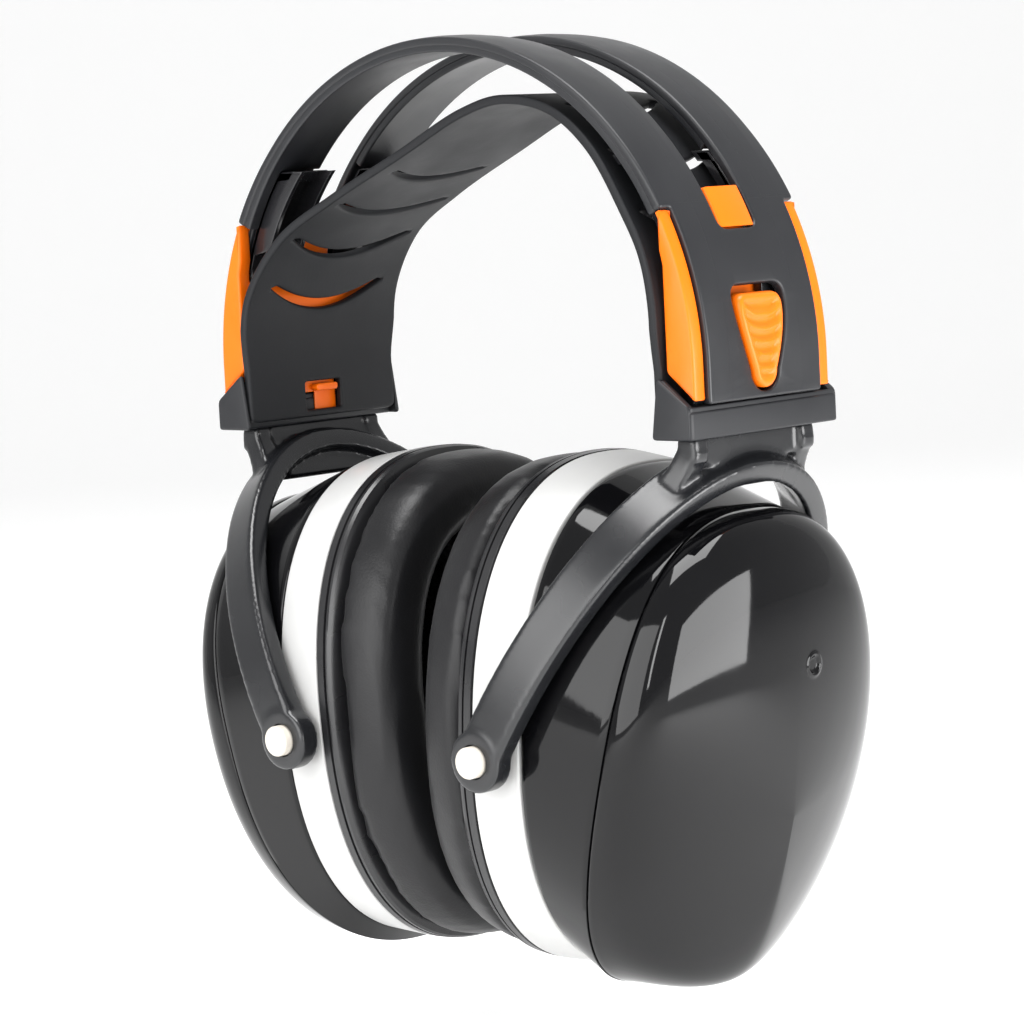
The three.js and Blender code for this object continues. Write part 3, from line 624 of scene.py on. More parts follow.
def make_lock_housing(name, side):
    cheek = [
        (COLLAR_INNER_X + 0.3, 77.4), (CHEEK_RADIUS, COLLAR_TOP_Z + 0.9),
        *leg_curve(CHEEK_RADIUS, HOOP_CENTRE_Z, 110.3, 36), (61.3, 102), (62, 99),
    ]
    parts = [
        side_prism(rounded_ends(cheek, 0.8), f * CHEEK_INNER_Y, f * CHEEK_OUTER_Y, side, 0.6)
        for f in (1, -1)
    ]
    plates = (
        (-FLOOR_HALF_WIDTH, FLOOR_HALF_WIDTH, FLOOR_BOTTOM_Z, FLOOR_TOP_Z),
        (-TAB_HALF_WIDTH, TAB_HALF_WIDTH, HOOP_BOTTOM_Z, FLOOR_BOTTOM_Z + 1),
    )
    for sides in plates:
        parts.append(front_prism(rectangle(*sides), FLOOR_INNER_X, FLOOR_OUTER_X, side, edge=0.2))
    hook = rectangle(-2, 4.5, HOOK_BOTTOM_Z, HOOK_TOP_Z)
    parts.append(front_prism(hook, FLOOR_INNER_X - 2.3, FLOOR_OUTER_X - 0.2, side, edge=0.3))
    # A thin plate shows behind the window in the strap.
    backing = rectangle(-1.2, 5.4, HOOK_BOTTOM_Z - 5, HOOK_BOTTOM_Z, 0.3)
    parts.append(front_prism(backing, FLOOR_INNER_X - 0.26, FLOOR_INNER_X + 0.02, side, edge=0.05))
    tab = [
        (FLOOR_INNER_X, FLOOR_TOP_Z - 1), (FLOOR_OUTER_X, FLOOR_TOP_Z - 1),
        *leg_curve(67.2, 98, HOOP_SLOT_BOTTOM_Z, 6),
        *leg_curve(HOOP_RADIUS - 0.1, HOOP_SLOT_BOTTOM_Z + 0.3, 114, 10), (56.6, 113.4), (58.6, 108),
        (60.9, 103),
    ]
    parts.append(side_prism(tab, -TAB_HALF_WIDTH, TAB_HALF_WIDTH, side, 0.7))
    housing = join_objects(*parts)
    return finish_piece(housing, f"lock_housing_{name}", "headband", "orange")


def make_prong(name, side, place, front):
    outer, inner = PRONG_OUTER_RADIUS, PRONG_INNER_RADIUS
    low, high = PRONG_BOTTOM_Z, PRONG_TOP_Z
    blade = [
        *leg_curve(outer, low, high - 2, 20),
        *leg_curve(outer - 0.5, high - 1.9, high, 3),
        *reversed(leg_curve(inner - 2.6, high - 2.2, high, 3)),
        *reversed(leg_curve(inner, low, high - 2.4, 20)),
    ]
    prong = side_prism(
        rounded_ends(blade, 0.6), front * PRONG_INNER_Y, front * PRONG_OUTER_Y, side, 0.35
    )
    # Where the strap leaves room, the prong's edges turn inwards as walls.
    reach = 1.6 if side > 0 else 4.4
    wall = [
        *leg_curve(outer - 0.2, low + 1, high - 0.2, 16),
        *reversed(leg_curve(inner - reach, low + 6.5, high - 0.2, 16)),
        *reversed(leg_curve(inner, low + 1, low + 5.5, 3)),
    ]
    walls = [
        side_prism(wall, front * y, front * (y + 1.2), side, 0.25)
        for y in (PRONG_INNER_Y, PRONG_OUTER_Y - 1.2)
    ]
    prong = join_objects(prong, *walls)
    return finish_piece(prong, f"guide_prong_{name}_{place}", "headband", "prong")


RIDGE_PITCH = 2.7


def make_button(name, side):
    """A teardrop key whose face has curved finger ridges."""
    foot_z = WINDOW_BOTTOM_Z + 0.7
    outline = [(0.9 * y - 0.35, foot_z + (z - foot_z) * 0.94) for y, z in teardrop(0.7, 16)]
    centre = np.array((-0.3, 84.5))
    if signed_area(outline) < 0:
        outline.reverse()
    # The back is flat, so that the pressed button stays clear of the yoke's stem.
    rings = [[(side * BUTTON_BACK_X, y, z) for y, z in outline]]
    for inset, depth in ((0, -1.1), (0.15, -0.5), (0.5, -0.15)):
        loop = drawn_in(outline, inset)
        rings.append([(side * (leg_x(BUTTON_FACE_RADIUS, z) + depth), y, z) for y, z in loop])
    base = np.array(drawn_in(outline, 0.9))
    for share in np.linspace(1, 0.03, 34):
        ring = []
        for y, z in centre + (base - centre) * share:
            reach = math.hypot(y, z - FLOOR_TOP_Z)
            fade = min(1.0, (1 - share) * 5)
            ridge = 0.75 * fade * (0.5 + 0.5 * math.cos(2 * math.pi * reach / RIDGE_PITCH)) ** 0.7
            ring.append((side * (leg_x(BUTTON_FACE_RADIUS, z) - 0.05 - ridge), y, z))
        rings.append(ring)
    button = loft("button", rings, cap=True, sharp=50)
    return finish_piece(
        button, f"release_button_{name}", f"button_{name}", "orange"
    )


# ---- Yoke ----


def arch_point(u, v, n):
    """From the arch's own plane (u forward, v up along its lean, n square to it) to the frame."""
    outward, up = turned(n, v, ARCH_LEAN)
    return PIVOT_X + outward, u, up


def arch_section(angle):
    """A rounded strip section at one angle of the arch, as points in the frame."""
    c, s = math.cos(angle), math.sin(angle)
    outer = np.array((ARCH_HALF_WIDTH * c, ARCH_HEIGHT * s))
    inner = np.array(((ARCH_HALF_WIDTH - ARCH_THICKNESS) * c, (ARCH_HEIGHT - ARCH_THICKNESS) * s))
    half = ARCH_STRIP_WIDTH / 2
    section = rounded([(0, -half), (1, -half), (1, half), (0, half)], 0.5, 3)
    return [arch_point(*(inner + (outer - inner) * share), n) for share, n in section]


def pivot_disc(radius, y0, y1, side, edge=0.5):
    """A disc round the pivots' axis, with rounded rims."""
    return side_prism(arc_points((PIVOT_X, 0), radius, 0, 360, 65)[:-1], y0, y1, side, edge)


def make_yoke(name, side):
    arch = loft(
        "arch",
        [[(side * x, y, z) for x, y, z in arch_section(a)] for a in np.linspace(0, math.pi, 120)],
    )
    with edited(arch.data) as bm:
        bmesh.ops.holes_fill(bm, edges=[e for e in bm.edges if e.is_boundary])
        bmesh.ops.recalc_face_normals(bm, faces=bm.faces)
    inner = ARCH_HALF_WIDTH - ARCH_THICKNESS
    eyes = [
        pivot_disc(EYE_RADIUS, f * (inner + 0.05), f * (ARCH_HALF_WIDTH + 0.1), side)
        for f in (1, -1)
    ]
    bodies = join_objects(arch, *eyes, *make_neck(side))
    fused(bodies, 0.5, 11)
    # The bores are cut after fusing, so that they stay crisp.
    for f in (1, -1):
        bore(bodies, f * (inner - 2), f * (ARCH_HALF_WIDTH + 3), side)
    yoke = join_objects(bodies, make_stem(side))
    shade(yoke.data, 50)
    return finish_piece(yoke, f"yoke_{name}", f"yoke_{name}", "yoke")


def bore(obj, y0, y1, side):
    """Cuts the pin's hole through one eye."""
    cutter = pivot_disc(BORE_RADIUS, y0, y1, side, edge=0.01)
    modifier = obj.modifiers.new("bore", "BOOLEAN")
    modifier.operation = "DIFFERENCE"
    modifier.solver = "EXACT"
    modifier.object = cutter
    apply_modifiers(obj)
    discard(cutter)


def mesh_as_modified(obj):
    depsgraph = bpy.context.evaluated_depsgraph_get()
    return bpy.data.meshes.new_from_object(obj.evaluated_get(depsgraph))


def apply_modifiers(obj):
    """Puts an object's modifiers into its mesh."""
    bpy.context.view_layer.update()
    shaped = mesh_as_modified(obj)
    old = obj.data
    obj.modifiers.clear()
    obj.data = shaped
    bpy.data.meshes.remove(old)


def add_voxel_remesh(obj, size):
    remesh = obj.modifiers.new("remesh", "REMESH")
    remesh.mode = "VOXEL"
    remesh.voxel_size = size * MM


def fused(obj, voxel, smoothing):
    """Fuses overlapping solids into one skin with small fillets."""
    add_voxel_remesh(obj, voxel)
    smooth = obj.modifiers.new("fillet", "SMOOTH")
    smooth.iterations = smoothing
    smooth.factor = 0.5
    apply_modifiers(obj)


def arch_plate(outline, low, high, side):
    """A plate drawn in the arch's own plane, from one height over that plane to another."""
    middle = (low + high) / 2

    def place(u, v, h):
        x, y, z = arch_point(u, v, middle + h)
        return side * x, y, z

    return bent("neck", plate(outline, (), high - low, 0.5), place)


NECK_TOP = 72.4  # up the arch's plane from the pivots
RIB_INNER_Y = 15.2
RIB_OUTER_Y = 19.6


def make_neck(side):
    """Two thick ribs with a recessed panel between them, flaring into the arch's shoulders."""
    parts = [arch_plate([(-16, 60), (16, 60), (16, NECK_TOP), (-16, NECK_TOP)], -2.8, -0.4, side)]
    panel = rounded([(62.4, 64.2), (65.0, 64.2), (65.0, 58), (62.4, 58)], 0.4)
    rib = rounded([(61.6, 64.2), (66.6, 64.2), (66.9, 59), (61.6, 58)], 0.6)
    parts.append(side_prism(panel, -16, 16, side, 0.2))
    for f in (1, -1):
        parts.append(side_prism(rib, f * RIB_INNER_Y, f * RIB_OUTER_Y, side, 0.5))
        flare = []
        for t in np.linspace(0, 1, 16):
            turn = t * math.pi / 2 * 0.72
            flare.append((
                f * (RIB_OUTER_Y - 0.1 + 13.0 * (1 - math.cos(turn))),
                NECK_TOP - 18.5 * math.sin(turn),
            ))
        outline = [(f * RIB_INNER_Y, NECK_TOP), *flare, (f * 27.5, 51.5), (f * RIB_INNER_Y, 61)]
        parts.append(arch_plate(outline, -3.4, 1.9, side))
    return parts


def make_stem(side):
    """The forked stem with its row of notches."""
    inner = []
    for i in range(NOTCH_COUNT):
        z = NOTCH_TOP_Z - i * NOTCH_PITCH
        for y, height in ((0, z), (NOTCH_DEPTH, z), (NOTCH_DEPTH, z - 1.5), (0, z - 1.5)):
            inner.append((FORK_HALF_WIDTH + y, height))
    inner = [(FORK_HALF_WIDTH, STEM_TOP_Z), *inner, (FORK_HALF_WIDTH, FORK_BOTTOM_Z)]
    half = [(STEM_HALF_WIDTH, STEM_BOTTOM_Z), (STEM_HALF_WIDTH, STEM_TOP_Z), *inner]
    outline = half + [(-y, z) for y, z in reversed(half)]
    return front_prism(outline, STEM_INNER_X, STEM_OUTER_X, side, edge=0.15)


# ---- Ear cups ----

CUP_POINTS = 160


def cup_place(side, point):
    """From the cup's leaning frame to the object's frame."""
    outward, up = turned(point[0], point[2], CUP_LEAN)
    return side * (PIVOT_X + outward), point[1], up


def ring_angles(count=CUP_POINTS):
    return np.linspace(0, 2 * math.pi, count, endpoint=False)


def border_ring(x, inset, count=CUP_POINTS):
    middle = (CUP_TOP + CUP_BOTTOM) / 2
    half_height = (CUP_TOP - CUP_BOTTOM) / 2 - inset
    return [
        (
            x,
            (CUP_HALF_WIDTH - inset) * oval(math.sin(a), CUP_EXPONENT),
            middle + half_height * oval(math.cos(a), CUP_EXPONENT),
        )
        for a in ring_angles(count)
    ]


def dome_ring(t, inset, count=CUP_POINTS):
    fullness = 1 - t**DOME_SHOULDER
    wide = (SEAM_HALF_WIDTH - inset) * fullness ** (1 / DOME_TAPER)
    above = (SEAM_HALF_HEIGHT - inset) * fullness ** (1 / DOME_TAPER)
    below = (SEAM_HALF_HEIGHT - inset) * fullness ** (1 / DOME_CHIN)
    depth = (DOME_DEPTH - inset) * t
    rise = DOME_RISE * t - DOME_FALL * t * t
    exponent = SEAM_EXPONENT - DOME_ROUNDING * t
    ring = []
    for a in ring_angles(count):
        across = oval(math.sin(a), exponent)
        up = oval(math.cos(a), exponent)
        outward = depth + SEAM_BOW * across * across * (1 - t)
        upward = rise + up * (above if up > 0 else below)
        x, z = turned(outward, upward, SEAM_LEAN)
        ring.append((SEAM_X + x, wide * across, SEAM_Z + z))
    return ring


def body_ring(share, inset, count=CUP_POINTS):
    start = np.array(border_ring(BODY_BACK, BODY_INSET + inset, count))
    end = np.array(dome_ring(0, inset, count))
    return start + (end - start) * share


def cup_loft(name, rings, side, closed=True, cap=False, sharp=35):
    placed_rings = [[cup_place(side, p) for p in ring] for ring in rings]
    return loft(name, placed_rings, cap=cap, closed=closed, sharp=sharp)


def make_pivot_ring(name, side):
    profile = [(RING_BACK, 0), (RING_FRONT, 1.1), (RING_FRONT, 3.6), (RING_BACK, 3.6)]
    ring = cup_loft("ring", [border_ring(x, inset) for x, inset in rounded(profile, 0.5, 4)], side)
    return finish_piece(ring, f"pivot_ring_{name}", f"cup_{name}", "ring")


def make_cup_body(name, side):
    rings = [body_ring(0.0, 0.7), body_ring(0.012, 0.25), body_ring(0.035, 0.02)]
    rings += [body_ring(share, 0) for share in np.linspace(0.08, 0.985, 14)]
    rings += [body_ring(0.995, 0.1), body_ring(1, 0.35)]
    rings += [body_ring(share, 2.6) for share in (1, 0.6, 0.2, 0)]
    body = cup_loft("body", rings, side)
    return finish_piece(body, f"cup_body_{name}", f"cup_{name}", "cup")


def make_dome(name, side):
    start = 0.3 / DOME_DEPTH
    outer = [1 - (1 - t) ** 2.2 for t in np.linspace(0, 1, 60)][:-1]
    rings = [dome_ring(start, 2.6), dome_ring(start, 0.35), dome_ring(start + 0.006, 0.1)]
    rings += [dome_ring(t, 0) for t in outer if t > start + 0.015]
    dome = cup_loft("dome", rings, side, closed=False, cap=True)
    mark_gate(dome, side)
    return finish_piece(dome, f"cup_dome_{name}", f"cup_{name}", "cup")


GATE_PLACE = (47, 5.5, 18.5)  # in the cup's own frame
GATE_PIT_RADIUS = 1.2
GATE_LIP_RADIUS = 2.2


def mark_gate(dome, side):
    """The small round sprue mark left on the dome's outer face."""
    spot = Vector(cup_place(side, GATE_PLACE)) * MM
    nearest = min((v.co.copy() for v in dome.data.vertices), key=lambda co: (co - spot).length)
    with edited(dome.data) as bm:
        for step in range(3):
            reach = 5 * MM * 0.85**step
            edges = [e for e in bm.edges if all((v.co - nearest).length < reach for v in e.verts)]
            bmesh.ops.subdivide_edges(bm, edges=edges, cuts=1, use_grid_fill=True)
        bmesh.ops.recalc_face_normals(bm, faces=bm.faces)
        bm.normal_update()
        moves = []
        for vertex in bm.verts:
            distance = (vertex.co - nearest).length / MM
            if distance > GATE_LIP_RADIUS + 1:
                continue
            lip = 0.22 * math.exp(-(((distance - GATE_LIP_RADIUS) / 0.45) ** 2))
            slope = max(0.0, distance - GATE_PIT_RADIUS) / 0.5
            moves.append((vertex, vertex.normal * (lip - 0.5 * math.exp(-(slope**2))) * MM))
        for vertex, move in moves:
            vertex.co += move
    shade(dome.data, 60)


def make_seal_plate(name, side):
    back, front = PLATE_BACK, PLATE_FRONT
    profile = [
        (back, 1.5), (back + 0.5, 0.5), (back + 1.2, 0.1), (front - 2.6, 0.1), (front - 2.45, 0.75),
        (front - 2.15, 0.75), (front - 2, 0), (front - 0.2, 0), (front, 0.4), (front, 18), (back, 18),
    ]
    rings = [border_ring(x, inset) for x, inset in profile]
    rim = cup_loft("plate", rings, side, sharp=30)
    return finish_piece(rim, f"seal_plate_{name}", f"cup_{name}", "plate")


def make_liner(name, side):
    outer, inner, count = 3.2, 10.2, 96
    rings = [body_ring(0.15, outer, count)]
    rings += [dome_ring(t, outer, count) for t in np.linspace(0, 0.55, 12)]
    rings += [dome_ring(t, inner, count) for t in np.linspace(0.55, 0, 12)]
    rings += [body_ring(0.15, inner, count), body_ring(0.15, (outer + inner) / 2, count)]
    liner = cup_loft("liner", rings, side, sharp=60)
    return finish_piece(liner, f"foam_liner_{name}", f"cup_{name}", "foam")


def make_pin(name, side, place, front):
    """A pivot pin with a slightly dished, bevelled head."""
    foot, head = PIN_INNER_Y, PIN_OUTER_Y
    profile = [
        (foot, 0), (foot, PIN_RADIUS - 0.3), (foot + 0.3, PIN_RADIUS), (head - 0.6, PIN_RADIUS),
        (head - 0.25, PIN_RADIUS - 0.1), (head - 0.05, PIN_RADIUS - 0.35), (head, PIN_RADIUS - 0.7),
        (head - 0.15, PIN_RADIUS - 1), (head - 0.2, 0),
    ]
    rings = []
    for y, radius in profile:
        circle = arc_points((0, 0), max(radius, 0.01), 0, 360, 49)[:-1]
        rings.append([cup_place(side, (u, front * y, v)) for u, v in circle])
    pin = loft("pin", rings, sharp=50)
    return finish_piece(pin, f"pivot_pin_{name}_{place}", f"cup_{name}", "pin")


# ---- Cushions ----

CUSHION_START_INSET = 0.6  # how much smaller than its finished shape the cushion starts
CUSHION_CAP = 1.6  # the furthest that a point of it may swell
CLOTH_FRAMES = 20


def cushion_section(offset):
    """The pillow's section as (x, inset): a tapered wall, a soft shoulder and a flat face."""
    back = CUSHION_BACK - offset * 0.5
    face = CUSHION_FACE + offset
    points = [
        (back, 0.3 + offset), (-17, 0.8 + offset), (-22, 2.0 + offset), (face, 5.2 + offset),
        (face, 14.3 - offset), (-22, 17.2 - offset), (-17, 18.3 - offset), (back, 18.5 - offset),
    ]
    return rounded(points, 1.1, 4)


def make_cushion(name, side):
    rings = [border_ring(x, inset, 96) for x, inset in cushion_section(CUSHION_START_INSET)]
    cushion = cup_loft("cushion", rings, side)
    swell(cushion, side)
    sew(cushion, side)
    nodes = [f"cushion_cover_{name}", f"cushion_foam_{name}"]
    finish_piece(cushion, f"cushion_{name}", f"cup_{name}", "leather", nodes)
    return cushion


def subdivide(obj, levels):
    modifier = obj.modifiers.new("fine", "SUBSURF")
    modifier.levels = levels
    modifier.render_levels = levels
    apply_modifiers(obj)


def swell(obj, side):
    """Blows the cushion up as cloth, its back held, with each point's movement capped."""
    add_voxel_remesh(obj, 2.2)
    apply_modifiers(obj)
    start = np.array([v.co[:] for v in obj.data.vertices])
    group = obj.vertex_groups.new(name="glued")
    back = CUSHION_BACK - 1.6
    for vertex in obj.data.vertices:
        if from_cup(side, vertex.co)[0] > back:
            group.add([vertex.index], 1.0, "ADD")
    cloth = obj.modifiers.new("cloth", "CLOTH")
    settings = cloth.settings
    settings.use_pressure = True
    settings.uniform_pressure_force = 4
    settings.vertex_group_mass = group.name
    settings.tension_stiffness = 30
    settings.compression_stiffness = 30
    settings.bending_stiffness = 4
    settings.effector_weights.gravity = 0
    cloth.point_cache.frame_start = 1
    cloth.point_cache.frame_end = CLOTH_FRAMES
    for number in range(1, CLOTH_FRAMES + 1):
        bpy.context.scene.frame_set(number)
    shaped = mesh_as_modified(obj)
    end = np.array([v.co[:] for v in shaped.vertices])
    moves = end - start
    lengths = np.maximum(np.linalg.norm(moves, axis=1), 1e-9)
    limit = np.minimum(1.0, CUSHION_CAP * MM / lengths)
    obj.modifiers.clear()
    obj.vertex_groups.clear()
    for vertex, move, share in zip(obj.data.vertices, moves, limit):
        vertex.co += Vector(move) * float(share)
    bpy.data.meshes.remove(shaped)
    bpy.context.scene.frame_set(1)
    subdivide(obj, 1)


def from_cup(side, co):
    """A point in metres, back into the cup's own frame in millimetres."""
    x, z = turned(side * co[0] / MM - PIVOT_X, co[2] / MM, -CUP_LEAN)
    return x, co[1] / MM, z


def sew(obj, side):
    """Presses the seam line that runs round the cushion's outer wall."""
    middle = (CUP_TOP + CUP_BOTTOM) / 2
    for vertex in obj.data.vertices:
        x, y, z = from_cup(side, vertex.co)
        across = abs(y) / CUP_HALF_WIDTH
        up = abs(z - middle) / ((CUP_TOP - CUP_BOTTOM) / 2)
        radius = (across**CUP_EXPONENT + up**CUP_EXPONENT) ** (1 / CUP_EXPONENT)
        if radius < 0.8:
            continue
        dip = 0.35 * math.exp(-(((x - (CUSHION_BACK - 1.2)) / 0.9) ** 2))
        vertex.co.y -= math.copysign(dip * min(1, across * 1.2), y) * MM
        vertex.co.z -= math.copysign(dip * min(1, up * 1.2), z - middle) * MM
    shade(obj.data, 60)


# ---- Materials ----


def new_material(name):
    material = bpy.data.materials.new(name)
    material.use_nodes = True
    tree = material.node_tree
    tree.nodes.clear()
    output = tree.nodes.new("ShaderNodeOutputMaterial")
    shader = tree.nodes.new("ShaderNodeBsdfPrincipled")
    tree.links.new(shader.outputs["BSDF"], output.inputs["Surface"])
    return material, tree, shader


def own_place(tree):
    """The object's own coordinates."""
    return tree.nodes.new("ShaderNodeTexCoord").outputs["Object"]


def grain(tree, scale, detail=4.0):
    """Noise over the object's own coordinates; scale is in grains per millimetre."""
    noise = tree.nodes.new("ShaderNodeTexNoise")
    noise.inputs["Scale"].default_value = scale / MM
    noise.inputs["Detail"].default_value = detail
    tree.links.new(own_place(tree), noise.inputs["Vector"])
    return noise.outputs["Fac"]


def spread(tree, value, low, high, from_low=0.3, from_high=0.7):
    """Maps a 0..1 value onto low..high."""
    remap = tree.nodes.new("ShaderNodeMapRange")
    remap.inputs["From Min"].default_value = from_low
    remap.inputs["From Max"].default_value = from_high
    remap.inputs["To Min"].default_value = low
    remap.inputs["To Max"].default_value = high
    tree.links.new(value, remap.inputs["Value"])
    return remap.outputs["Result"]


def tint(tree, value, dark, light):
    """A colour between two by a value."""
    mix = tree.nodes.new("ShaderNodeMix")
    mix.data_type = "RGBA"
    mix.inputs["A"].default_value = (*dark, 1)
    mix.inputs["B"].default_value = (*light, 1)
    tree.links.new(value, mix.inputs["Factor"])
    return mix.outputs["Result"]


def raised(tree, height, distance, strength=1.0, under=None):
    """The surface's normal, raised by a value over the normal that lies under it."""
    bump = tree.nodes.new("ShaderNodeBump")
    bump.inputs["Distance"].default_value = distance * MM
    bump.inputs["Strength"].default_value = strength
    tree.links.new(height, bump.inputs["Height"])
    if under is not None:
        tree.links.new(under, bump.inputs["Normal"])
    return bump.outputs["Normal"]


def moulded(name, dark, light, rough, grain_scale, grain_height, specular=0.5):
    """Moulded plastic: slow changes of shade and gloss, and a fine surface grain."""
    material, tree, shader = new_material(name)
    slow = grain(tree, 0.06, 3.0)
    fine = grain(tree, grain_scale, 5.0)
    tree.links.new(tint(tree, slow, dark, light), shader.inputs["Base Color"])
    tree.links.new(spread(tree, slow, *rough), shader.inputs["Roughness"])
    tree.links.new(raised(tree, fine, grain_height, 0.6), shader.inputs["Normal"])
    shader.inputs["Specular IOR Level"].default_value = specular
    return material, tree, shader


BAND_BLACK = ((0.0085, 0.009, 0.0105), (0.0135, 0.014, 0.016))


def make_band():
    return moulded("band", *BAND_BLACK, (0.42, 0.52), 2.2, 0.02, 0.3)[0]


def make_strap_plastic():
    dark, light = (0.006, 0.0063, 0.0075), (0.010, 0.0105, 0.012)
    return moulded("strap", dark, light, (0.5, 0.62), 1.6, 0.05, 0.22)[0]


def make_prong_plastic():
    dark, light = (0.008, 0.008, 0.009), (0.014, 0.014, 0.016)
    return moulded("prong", dark, light, (0.16, 0.26), 2.0, 0.008)[0]


def make_yoke_plastic():
    dark, light = (0.006, 0.0063, 0.0072), (0.0095, 0.010, 0.0115)
    return moulded("yoke", dark, light, (0.2, 0.3), 2.5, 0.012)[0]


def make_cup_plastic():
    dark, light = (0.0015, 0.0015, 0.0018), (0.0025, 0.0025, 0.003)
    return moulded("cup", dark, light, (0.03, 0.075), 0.25, 0.01, 0.26)[0]


def make_plate_plastic():
    dark, light = (0.007, 0.007, 0.008), (0.012, 0.012, 0.013)
    return moulded("plate", dark, light, (0.22, 0.34), 2.0, 0.01)[0]


def let_light_in(shader, weight, radius):
    """Light spreads under the surface, as in pale or bright plastic."""
    shader.inputs["Subsurface Weight"].default_value = weight
    shader.inputs["Subsurface Radius"].default_value = radius


def make_orange():
    dark, light = (0.74, 0.118, 0.0012), (0.80, 0.138, 0.0025)
    material, _, shader = moulded("orange", dark, light, (0.3, 0.4), 1.8, 0.012, 0.26)
    let_light_in(shader, 0.03, (0.004, 0.0015, 0.0005))
    return material


def make_ring_plastic():
    dark, light = (0.40, 0.40, 0.395), (0.45, 0.45, 0.445)
    material, _, shader = moulded("ring", dark, light, (0.28, 0.4), 1.5, 0.01)
    let_light_in(shader, 0.15, (0.003, 0.003, 0.0025))
    return material


def make_pin_plastic():
    dark, light = (0.50, 0.465, 0.41), (0.55, 0.515, 0.46)
    material, _, shader = moulded("pin", dark, light, (0.25, 0.38), 1.5, 0.01)
    let_light_in(shader, 0.2, (0.003, 0.0025, 0.002))
    return material


def near_line(tree, value, place, width):
    """1 on a fine line where the value equals place, and 0 away from it."""
    compare = tree.nodes.new("ShaderNodeMath")
    compare.operation = "COMPARE"
    compare.inputs[1].default_value = place * MM
    compare.inputs[2].default_value = width * MM
    tree.links.new(value, compare.inputs[0])
    return compare.outputs["Value"]


PARTING_LINE_Y = 11.6  # along each rail
PARTING_LINE_Z = 111.4  # across each leg


def make_hoop_material():
    """The band's plastic with the fine parting lines that its mould leaves."""
    material, tree, shader = moulded("hoop", *BAND_BLACK, (0.32, 0.44), 2.2, 0.02, 0.36)
    split = tree.nodes.new("ShaderNodeSeparateXYZ")
    tree.links.new(own_place(tree), split.inputs["Vector"])
    aside = tree.nodes.new("ShaderNodeMath")
    aside.operation = "ABSOLUTE"
    tree.links.new(split.outputs["Y"], aside.inputs[0])
    both = tree.nodes.new("ShaderNodeMath")
    both.operation = "MAXIMUM"
    tree.links.new(near_line(tree, aside.outputs["Value"], PARTING_LINE_Y, 0.2), both.inputs[0])
    tree.links.new(near_line(tree, split.outputs["Z"], PARTING_LINE_Z, 0.2), both.inputs[1])
    under = shader.inputs["Normal"].links[0].from_socket
    tree.links.new(raised(tree, both.outputs["Value"], -0.3, 1.0, under), shader.inputs["Normal"])
    return material


def make_leather():
    """Soft leatherette: pebbled cells with fine creases."""
    material, tree, shader = new_material("leatherette")
    cells = tree.nodes.new("ShaderNodeTexVoronoi")
    cells.feature = "DISTANCE_TO_EDGE"
    cells.inputs["Scale"].default_value = 1.1 / MM
    tree.links.new(own_place(tree), cells.inputs["Vector"])
    pebbles = spread(tree, cells.outputs["Distance"], 0, 1, 0.0, 0.25)
    slow = grain(tree, 0.07, 3.0)
    folds = grain(tree, 0.25, 5.0)
    dark, light = (0.0045, 0.0045, 0.005), (0.008, 0.008, 0.009)
    tree.links.new(tint(tree, slow, dark, light), shader.inputs["Base Color"])
    tree.links.new(spread(tree, slow, 0.34, 0.46), shader.inputs["Roughness"])
    creased = raised(tree, folds, 0.12, 0.5)
    tree.links.new(raised(tree, pebbles, 0.02, 0.6, creased), shader.inputs["Normal"])
    shader.inputs["Specular IOR Level"].default_value = 0.28
    shader.inputs["Sheen Weight"].default_value = 0.03
    shader.inputs["Sheen Roughness"].default_value = 0.4
    return material


def make_foam():
    """Open-cell foam: sunken pores all over, each darkened by painted shade."""
    material, tree, shader = new_material("foam")
    pores = tree.nodes.new("ShaderNodeTexVoronoi")
    pores.inputs["Scale"].default_value = 0.9 / MM
    tree.links.new(own_place(tree), pores.inputs["Vector"])
    pore_pits_and_painted_shade = spread(tree, pores.outputs["Distance"], 0, 1, 0.1, 0.6)
    dark, light = (0.012, 0.012, 0.013), (0.05, 0.05, 0.053)
    # Painted shade: the colour darkens in each pore just where the bump sinks it.
    tree.links.new(tint(tree, pore_pits_and_painted_shade, dark, light), shader.inputs["Base Color"])
    tree.links.new(raised(tree, pore_pits_and_painted_shade, 0.5, 0.9), shader.inputs["Normal"])
    shader.inputs["Roughness"].default_value = 0.95
    return material


def make_steel():
    """Drawn spring wire."""
    material, tree, shader = new_material("steel")
    slow = grain(tree, 0.5, 3.0)
    dark, light = (0.5, 0.51, 0.53), (0.66, 0.67, 0.69)
    tree.links.new(tint(tree, slow, dark, light), shader.inputs["Base Color"])
    tree.links.new(spread(tree, slow, 0.22, 0.38), shader.inputs["Roughness"])
    tree.links.new(raised(tree, grain(tree, 3.0), 0.01, 0.5), shader.inputs["Normal"])
    shader.inputs["Metallic"].default_value = 1.0
    return material


# ---- Studio ----


STUDIO_FLOOR_Z = -79.5  # below the cups even when the yokes are drawn right out


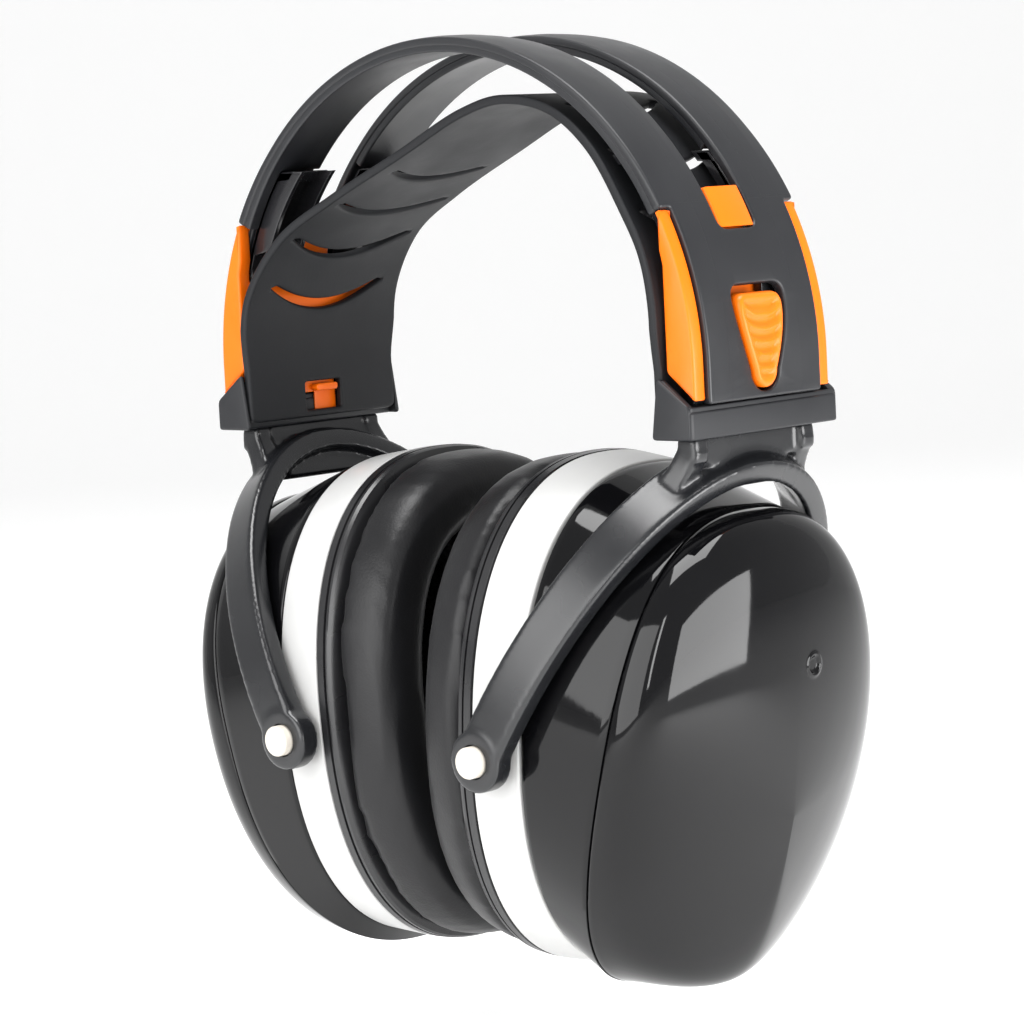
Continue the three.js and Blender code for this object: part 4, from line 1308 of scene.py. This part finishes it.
def make_floor():
    """A wide pale floor that turns up behind the object."""
    size = 4000
    rows = [(-size, 0), (1500, 0)]
    rows += [(1500 + 900 * math.sin(a), 900 * (1 - math.cos(a))) for a in np.linspace(0.1, 1.5, 12)]
    rows += [(2450, 3000)]
    points = []
    azimuth = math.radians(CAMERA_AZIMUTH)
    for forward, height in rows:
        for across in (-size, size):
            x = -forward * math.sin(azimuth) + across * math.cos(azimuth)
            y = forward * math.cos(azimuth) + across * math.sin(azimuth)
            points.append((x, y, STUDIO_FLOOR_Z + height))
    faces = [(2 * i, 2 * i + 1, 2 * i + 3, 2 * i + 2) for i in range(len(rows) - 1)]
    floor = mesh_object("floor", points, faces)
    material, tree, shader = new_material("floor")
    dark, light = (0.93, 0.93, 0.93), (0.95, 0.95, 0.95)
    tree.links.new(tint(tree, grain(tree, 0.002), dark, light), shader.inputs["Base Color"])
    shader.inputs["Roughness"].default_value = 0.75
    shader.inputs["Specular IOR Level"].default_value = 0.2
    shader.inputs["Emission Color"].default_value = (1, 1, 1, 1)
    shader.inputs["Emission Strength"].default_value = 0.12
    floor.data.materials.append(material)


def soft_light(name, place, aim, size, power):
    light = bpy.data.lights.new(name, "AREA")
    light.shape = "RECTANGLE"
    light.size, light.size_y = (s * MM for s in size)
    light.energy = power
    obj = add_object(name, light)
    obj.location = Vector(place) * MM
    obj.rotation_euler = (Vector(aim) - Vector(place)).to_track_quat("-Z", "Y").to_euler()
    obj.visible_camera = False


def make_lights():
    world = bpy.data.worlds.new("studio")
    bpy.context.scene.world = world
    world.use_nodes = True
    background = world.node_tree.nodes["Background"]
    background.inputs["Color"].default_value = (1, 1, 1, 1)
    background.inputs["Strength"].default_value = 0.62
    bpy.context.scene.view_settings.view_transform = "Standard"
    middle = (0, 0, 40)
    soft_light("top_softbox", (100, -100, 950), middle, (700, 500), 13)
    soft_light("left_softbox", (-60, -950, 300), middle, (900, 720), 10.5)
    soft_light("strip_softbox", (560, -850, 380), middle, (80, 620), 2.4)
    soft_light("right_softbox", (400, 30, 40), middle, (320, 180), 2.0)


CAMERA_AZIMUTH = 42.924
CAMERA_ELEVATION = 5.927
CAMERA_ROLL = -2.902
CAMERA_PLACE = (493.73, -533.51, 120.53)
CAMERA_LENS = 117.63


def make_camera():
    azimuth, elevation, roll = (
        math.radians(v) for v in (CAMERA_AZIMUTH, CAMERA_ELEVATION, CAMERA_ROLL)
    )
    back = Vector((
        math.sin(azimuth) * math.cos(elevation),
        -math.cos(azimuth) * math.cos(elevation),
        math.sin(elevation),
    ))
    level = Vector((math.cos(azimuth), math.sin(azimuth), 0))
    above = back.cross(level)
    right = level * math.cos(roll) + above * math.sin(roll)
    up = above * math.cos(roll) - level * math.sin(roll)
    data = bpy.data.cameras.new("camera")
    data.sensor_width = 36
    data.lens = CAMERA_LENS
    data.clip_start = 0.01
    data.clip_end = 50
    camera = add_object("camera", data)
    turn = Matrix((right, up, back)).transposed().to_4x4()
    camera.matrix_world = Matrix.Translation(Vector(CAMERA_PLACE) * MM) @ turn
    bpy.context.scene.camera = camera


# ---- The object ----

MATERIALS = {
    "band": make_band(), "hoop": make_hoop_material(), "strap": make_strap_plastic(),
    "prong": make_prong_plastic(), "orange": make_orange(), "yoke": make_yoke_plastic(),
    "cup": make_cup_plastic(), "ring": make_ring_plastic(), "pin": make_pin_plastic(),
    "plate": make_plate_plastic(), "leather": make_leather(), "foam": make_foam(),
    "steel": make_steel(),
}

make_camera()
make_hoop()
make_strap()
for name, side in SIDES.items():
    make_collar(name, side)
    make_lock_housing(name, side)
    make_prong(name, side, "front", 1)
    make_prong(name, side, "rear", -1)
    make_button(name, side)
    make_yoke(name, side)
    make_pin(name, side, "front", 1)
    make_pin(name, side, "rear", -1)
    make_pivot_ring(name, side)
    make_cup_body(name, side)
    make_dome(name, side)
    make_seal_plate(name, side)
    make_liner(name, side)
    make_cushion(name, side)
    spring = bpy.data.objects[f"button_spring_{name}"]
    for slot in spring.material_slots:
        slot.material = MATERIALS["steel"]
make_floor()
make_lights()
